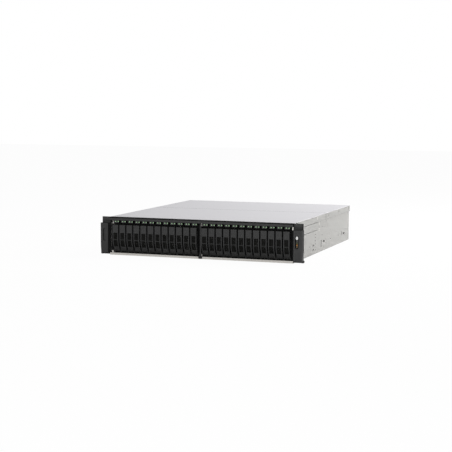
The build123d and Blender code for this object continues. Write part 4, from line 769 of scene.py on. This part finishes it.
def grille_mesh(x0, x1, z0, z1, columns, rows, front, sheet, hole=(0.8, 0.92)):
    """Closed sheet with staggered six-sided holes.

    The area is cut into columns by rows of equal cells, and every second row is shifted by half a
    cell, with a plain half cell left at one end.  Each whole cell has one hole, whose corners lie
    at the middle of its top and bottom and at half of its height on both sides, drawn in by the
    hole shares.  The front is at the depth that the function front gives for a height.
    """
    pitch, step = (x1 - x0) / (columns + 0.5), (z1 - z0) / rows
    across, up = pitch / 2 * hole[0], step / 2 * hole[1]
    corners = [(0, up), (across, up / 2), (across, -up / 2), (0, -up), (-across, -up / 2), (-across, up / 2)]
    points, flats, walls = {}, [], []

    def point(x, z):
        return points.setdefault((round(x, 4), round(z, 4)), len(points))

    for row in range(rows):
        low, high = z0 + row * step, z0 + (row + 1) * step
        start = x0 + (row % 2) * pitch / 2
        plain = x1 - pitch / 2 if row % 2 == 0 else x0
        flats.append([point(plain, low), point(plain + pitch / 2, low),
                      point(plain + pitch / 2, high), point(plain, high)])
        for column in range(columns):
            left = start + column * pitch
            middle, centre = left + pitch / 2, (low + high) / 2
            ring = [point(middle + dx, centre + dz) for dx, dz in corners]
            outline = [point(middle, high), point(left + pitch, high), point(left + pitch, low),
                       point(middle, low), point(left, low), point(left, high)]
            for place in range(6):
                after = (place + 1) % 6
                flats.append([outline[place], ring[place], ring[after], outline[after]])
                walls.append((ring[after], ring[place]))
    flat = list(points)
    count = len(flat)
    vertices = [(x, front(z) + depth, z) for depth in (0.0, sheet) for x, z in flat]
    directed = {pair for face in flats for pair in zip(face, face[1:] + face[:1])}
    inner = set(walls) | {(second, first) for first, second in walls}
    rim = [(a, b) for a, b in directed if (b, a) not in directed and (a, b) not in inner]
    faces = [list(face) for face in flats]
    faces += [[index + count for index in reversed(face)] for face in flats]
    faces += [[a, b, b + count, a + count] for a, b in walls]
    faces += [[b, a, a + count, b + count] for a, b in rim]
    return vertices, faces


def lever_face(z):
    """Depth of the lever's face at a height: flat above, and an arc that leaves it tangentially below."""
    drop = max(0.0, CURVE_TOP - z)
    return CURVE_RADIUS - (CURVE_RADIUS ** 2 - drop ** 2) ** 0.5


def make_drive_grilles():
    """Two honeycomb sheets in the windows of each lever, bent along its face."""
    for bay in range(BAY_COUNT):
        x = bay_x(bay)
        sheets = []
        for top in WINDOW_TOPS:
            sheet = grille_mesh(*span(x, WINDOW_HALF), top - WINDOW_HEIGHT, top, *GRILLE_CELLS,
                                lambda z: GRILLE_SETBACK + lever_face(z), GRILLE_SHEET)
            sheets.append((*sheet, MESH_BLACK))
        body = f"lever_{bay + 1:02d}" if bay in LEVER_BAYS else f"tray_{bay + 1:02d}"
        # with a bar of painted shade across the lever
        add_piece(f"drive_grille_{bay + 1:02d}", body, "lever", *sheets,
                  boxes(SHADE_BAND, *shifted(x, LEVER_BAR)))


def make_drive_details():
    """Circuit board with chips on the left of each drive and a bare label on its right."""
    for bay in range(BAY_COUNT):
        x = bay_x(bay)
        add_piece(f"drive_details_{bay + 1:02d}", f"tray_{bay + 1:02d}", "tray",
                  boxes(BOARD_GREEN, *shifted(x, DRIVE_BOARD)), boxes(CHIP_BLACK, *shifted(x, *DRIVE_CHIPS)),
                  boxes(LABEL_WHITE, *shifted(x, DRIVE_LABEL)))


def make_tray_lamps():
    """Grey cover plate, lightened as painted light against the beam's shade, with two lit squares in front
    of the light pipes of each tray.
    """
    lamps = [(*span(place, LAMP_HALF), *LAMP_Y, *span(LAMP_Z, LAMP_HALF)) for place in LAMP_X]
    for bay in range(BAY_COUNT):
        x = bay_x(bay)
        add_piece(f"tray_lamps_{bay + 1:02d}", f"tray_{bay + 1:02d}", "tray",
                  boxes(LAMP_GREEN, *shifted(x, *lamps)), boxes(TILE_GREY_LIT, *shifted(x, LAMP_TILE)))


def make_side_details():
    """Ribs painted bright as highlights, dark discs of painted shade where holes are, and strips of painted
    shade in the gaps and behind the hook slots, with tongues of sheet in the slots, on both sides.

    The crosses of the rear cover's screws are a piece of their own, because they move with it.
    """
    for side, name in ((1, "right"), (-1, "left")):
        # painted highlights on the ribs
        parts = [side_boxes(STEEL_HIGHLIGHT, side, x, x + proud, place) for x, proud, *place in SIDE_RIBS]
        # dark discs of painted shade where holes are
        parts += [turned(SHADE_BLACK, (side * x, y, z), "x", [(radius, 0.0), (radius, side * SIDE_HOLE_PROUD)],
                         segments) for x, y, z, radius, segments in SIDE_HOLES]
        # strips of painted shade in the gaps and behind the hook slots
        parts += [side_boxes(SHADE_BLACK, side, *SIDE_GAP_X, *SIDE_GAPS),
                  side_boxes(SHADE_BLACK, side, *SLOT_BACKING_X, *SLOT_BACKINGS),
                  side_boxes(ZINC_SIDE, side, *SLOT_TONGUE_X, *SLOT_TONGUES)]
        add_piece(f"side_details_{name}", "chassis", "bare_steel", *parts)
    # crosses of painted shade on the cover screws
    crosses = [cross_mark((side * COVER_X, depth, SCREW_Z), "x", side, SCREW_HEAD, COVER_SCREW_RADIUS)
               for side in (-1, 1) for depth in SCREW_DEPTHS]
    add_piece("cover_screw_crosses", "top_cover", "bare_steel", *crosses)


def make_front_details():
    """Tabs beside both ears and at the top of the middle post, bare steel painted bright as highlights, and
    the collar of the ear's pin.
    """
    add_piece("front_tabs", "chassis", "bare_steel", boxes(STEEL_HIGHLIGHT, *FRONT_TABS))
    add_piece("ear_pin_collar", "chassis", "black_plastic", turned(BLACK_FRONT, PIN_PLACE, "z", PIN_COLLAR))


def make_rear_screws():
    """Screws of the rear wall."""
    heads = [part for x, z in REAR_SCREWS for part in screw_head((x, REAR, z))]
    add_piece("rear_wall_screws", "chassis", "bare_steel", *heads)


def make_port_details():
    """Contacts and lamps of the network sockets, and tongues of the serial ones."""
    contacts = [(*span(x + step * CONTACT_PITCH, CONTACT_HALF), *CONTACT_YZ)
                for x in PORT_X for step in CONTACT_STEPS]
    lamps = [(*span(x + place, PORT_LAMP_HALF), *PORT_LAMP_YZ) for x in PORT_X for place in PORT_LAMP_X]
    tongues = [(*span(USB_X, USB_TONGUE_HALF), *USB_TONGUE_Y, *heights) for heights in USB_TONGUES_Z]
    add_piece("port_details", "chassis", "socket_metal", boxes(CONTACT_GOLD, *contacts),
              boxes(LAMP_GREEN, *lamps), boxes(CHIP_BLACK, *tongues))


def make_card_ports():
    """Cages of the network card's two ports, each with four walls and a back of painted shade."""
    cages, throats = [], []
    y0, y1 = CARD_PORT_Y
    half_x, half_z = CARD_PORT_HALF
    for z in CARD_PORTS_Z:
        x0, x1 = span(CARD_X, half_x)
        z0, z1 = span(z, half_z)
        left, right = x0 + CARD_PORT_WALL, x1 - CARD_PORT_WALL
        low, high = z0 + CARD_PORT_WALL, z1 - CARD_PORT_WALL
        cages += [(x0, x1, y0, y1, z0, low), (x0, x1, y0, y1, high, z1),
                  (x0, left, y0, y1, low, high), (right, x1, y0, y1, low, high)]
        throats.append((left, right, y0, y0 + CARD_PORT_BACK, low, high))
    add_piece("card_ports", "chassis", "socket_metal", boxes(SOCKET_TIN, *cages), boxes(SHADE_BLACK, *throats))


def make_supply_details():
    """Fan grille with a backing of painted shade, inlet pins, lamp and screws of each power supply."""
    x0, x1 = PSU_GRILLE_X
    half_x, half_z = PSU_PIN_HALF
    for number, low in enumerate(PSU_LOWS, start=1):
        z0, z1 = low + PSU_GRILLE_Z[0], low + PSU_GRILLE_Z[1]
        grille = grille_mesh(x0, x1, z0, z1, *PSU_GRILLE_CELLS, lambda z: REAR + PSU_GRILLE_FRONT,
                             PSU_GRILLE_SHEET, PSU_GRILLE_HOLE)
        backing = (x0 + PSU_BACKING_EDGE, x1 - PSU_BACKING_EDGE, *PSU_BACKING_Y,
                   z0 + PSU_BACKING_EDGE, z1 - PSU_BACKING_EDGE)
        pins = [(*span(INLET_X + place, half_x), *PSU_PIN_Y, *span(low + PSU_MIDDLE + rise, half_z))
                for place, rise in PSU_PINS]
        lamp_x, lamp_z = PSU_LAMP
        lamp = turned(LAMP_GREEN, (lamp_x, REAR, low + lamp_z), "y", PSU_LAMP_PROFILE,
                      PSU_LAMP_CORNERS)
        heads = [part for x, z in PSU_SCREWS
                 for part in screw_head((x, REAR, low + z), PSU_SCREW_RADIUS, PSU_SCREW_HEIGHT)]
        add_piece(f"supply_details_{number}", f"supply_{number}", "cast_alloy", (*grille, PSU_SHEET),
                  boxes(SHADE_BLACK, backing), boxes(SCREW_STEEL, *pins), lamp, *heads)


def make_board_details():
    """Coils, chips and a finned cooler on the main board, seen when the rear cover is drawn back."""
    coils = [(x, x + COIL_SIZE, *COIL_YZ) for x in COIL_X]
    fins = [(FIN_START + step * FIN_PITCH, FIN_START + step * FIN_PITCH + FIN_SHEET, *FIN_YZ)
            for step in range(FIN_COUNT)]
    add_piece("board_details", "chassis", "board", boxes(CHIP_BLACK, *coils, *BOARD_CHIPS),
              boxes(FIN_METAL, *fins))


make_drive_grilles()
make_drive_details()
make_tray_lamps()
make_side_details()
make_front_details()
make_rear_screws()
make_port_details()
make_card_ports()
make_supply_details()
make_board_details()


# Studio
def make_camera():
    """Camera at the photograph's place: forward from yaw and pitch, then rolled about that axis."""
    forward = Vector((-sin(CAMERA_YAW) * cos(CAMERA_PITCH), cos(CAMERA_YAW) * cos(CAMERA_PITCH),
                      -sin(CAMERA_PITCH)))
    level = Vector((cos(CAMERA_YAW), sin(CAMERA_YAW), 0.0))
    upward = level.cross(forward)
    right = level * cos(CAMERA_ROLL) + upward * sin(CAMERA_ROLL)
    up = upward * cos(CAMERA_ROLL) - level * sin(CAMERA_ROLL)
    data = bpy.data.cameras.new("photo_camera")
    data.sensor_width = SENSOR_MM
    data.lens = CAMERA_FOCUS_PX / PHOTO_SIZE_PX * SENSOR_MM
    data.clip_start = 0.05
    data.clip_end = 50.0
    camera = bpy.data.objects.new("photo_camera", data)
    turn = Matrix((right, up, -forward)).transposed().to_4x4()
    place = Vector(CAMERA_PLACE) + Vector((0.0, FRONT, 0.0))
    camera.matrix_world = Matrix.Translation(place * MM) @ turn
    bpy.context.collection.objects.link(camera)
    bpy.context.scene.camera = camera


def make_lamp(name, place, target, size, power):
    """Square soft lamp that faces a target point."""
    data = bpy.data.lights.new(name, "AREA")
    data.size = size
    data.energy = power
    lamp = bpy.data.objects.new(name, data)
    lamp.location = place
    aim = Vector(target) - Vector(place)
    lamp.rotation_euler = aim.to_track_quat("-Z", "Y").to_euler()
    bpy.context.collection.objects.link(lamp)


def make_world():
    """White for the camera and seen through glass, softer for the light that falls on the object."""
    world = bpy.data.worlds.new("studio")
    world.use_nodes = True
    tree = world.node_tree
    backdrop = tree.nodes["Background"]
    rays = tree.nodes.new("ShaderNodeLightPath")
    seen = math_node(tree, "MAXIMUM", rays.outputs["Is Camera Ray"], rays.outputs["Is Transmission Ray"])
    level = tree.nodes.new("ShaderNodeMapRange")
    level.inputs["To Min"].default_value = WORLD_LIGHT
    level.inputs["To Max"].default_value = 1.0
    tree.links.new(seen, level.inputs["Value"])
    tree.links.new(level.outputs["Result"], backdrop.inputs["Strength"])
    backdrop.inputs["Color"].default_value = (1.0, 1.0, 1.0, 1.0)
    bpy.context.scene.world = world


def make_floor():
    """Pale floor that the camera sees as white, with a faint shadow of the object."""
    mesh = bpy.data.meshes.new("studio_floor")
    corners = [(x * FLOOR_HALF, y * FLOOR_HALF, 0.0) for x, y in ((-1, -1), (1, -1), (1, 1), (-1, 1))]
    mesh.from_pydata(corners, [], [(0, 1, 2, 3)])
    floor = bpy.data.objects.new("studio_floor", mesh)
    floor.location.z = -FLOOR_DROP
    bpy.context.collection.objects.link(floor)
    material = bpy.data.materials.new("white_floor")
    material.use_nodes = True
    tree = material.node_tree
    matt = tree.nodes["Principled BSDF"]
    matt.inputs["Base Color"].default_value = (FLOOR_GREY, FLOOR_GREY, FLOOR_GREY, 1.0)
    matt.inputs["Roughness"].default_value = FLOOR_ROUGHNESS
    white = tree.nodes.new("ShaderNodeEmission")
    rays = tree.nodes.new("ShaderNodeLightPath")
    share = math_node(tree, "MULTIPLY", rays.outputs["Is Camera Ray"], FLOOR_WHITE_SHARE)
    mix = tree.nodes.new("ShaderNodeMixShader")
    tree.links.new(share, mix.inputs["Fac"])
    tree.links.new(matt.outputs[0], mix.inputs[1])
    tree.links.new(white.outputs[0], mix.inputs[2])
    tree.links.new(mix.outputs[0], tree.nodes["Material Output"].inputs["Surface"])
    mesh.materials.append(material)


make_camera()
make_world()
make_floor()
for lamp in LAMPS:
    make_lamp(*lamp)

bpy.context.scene.view_settings.view_transform = "Standard"
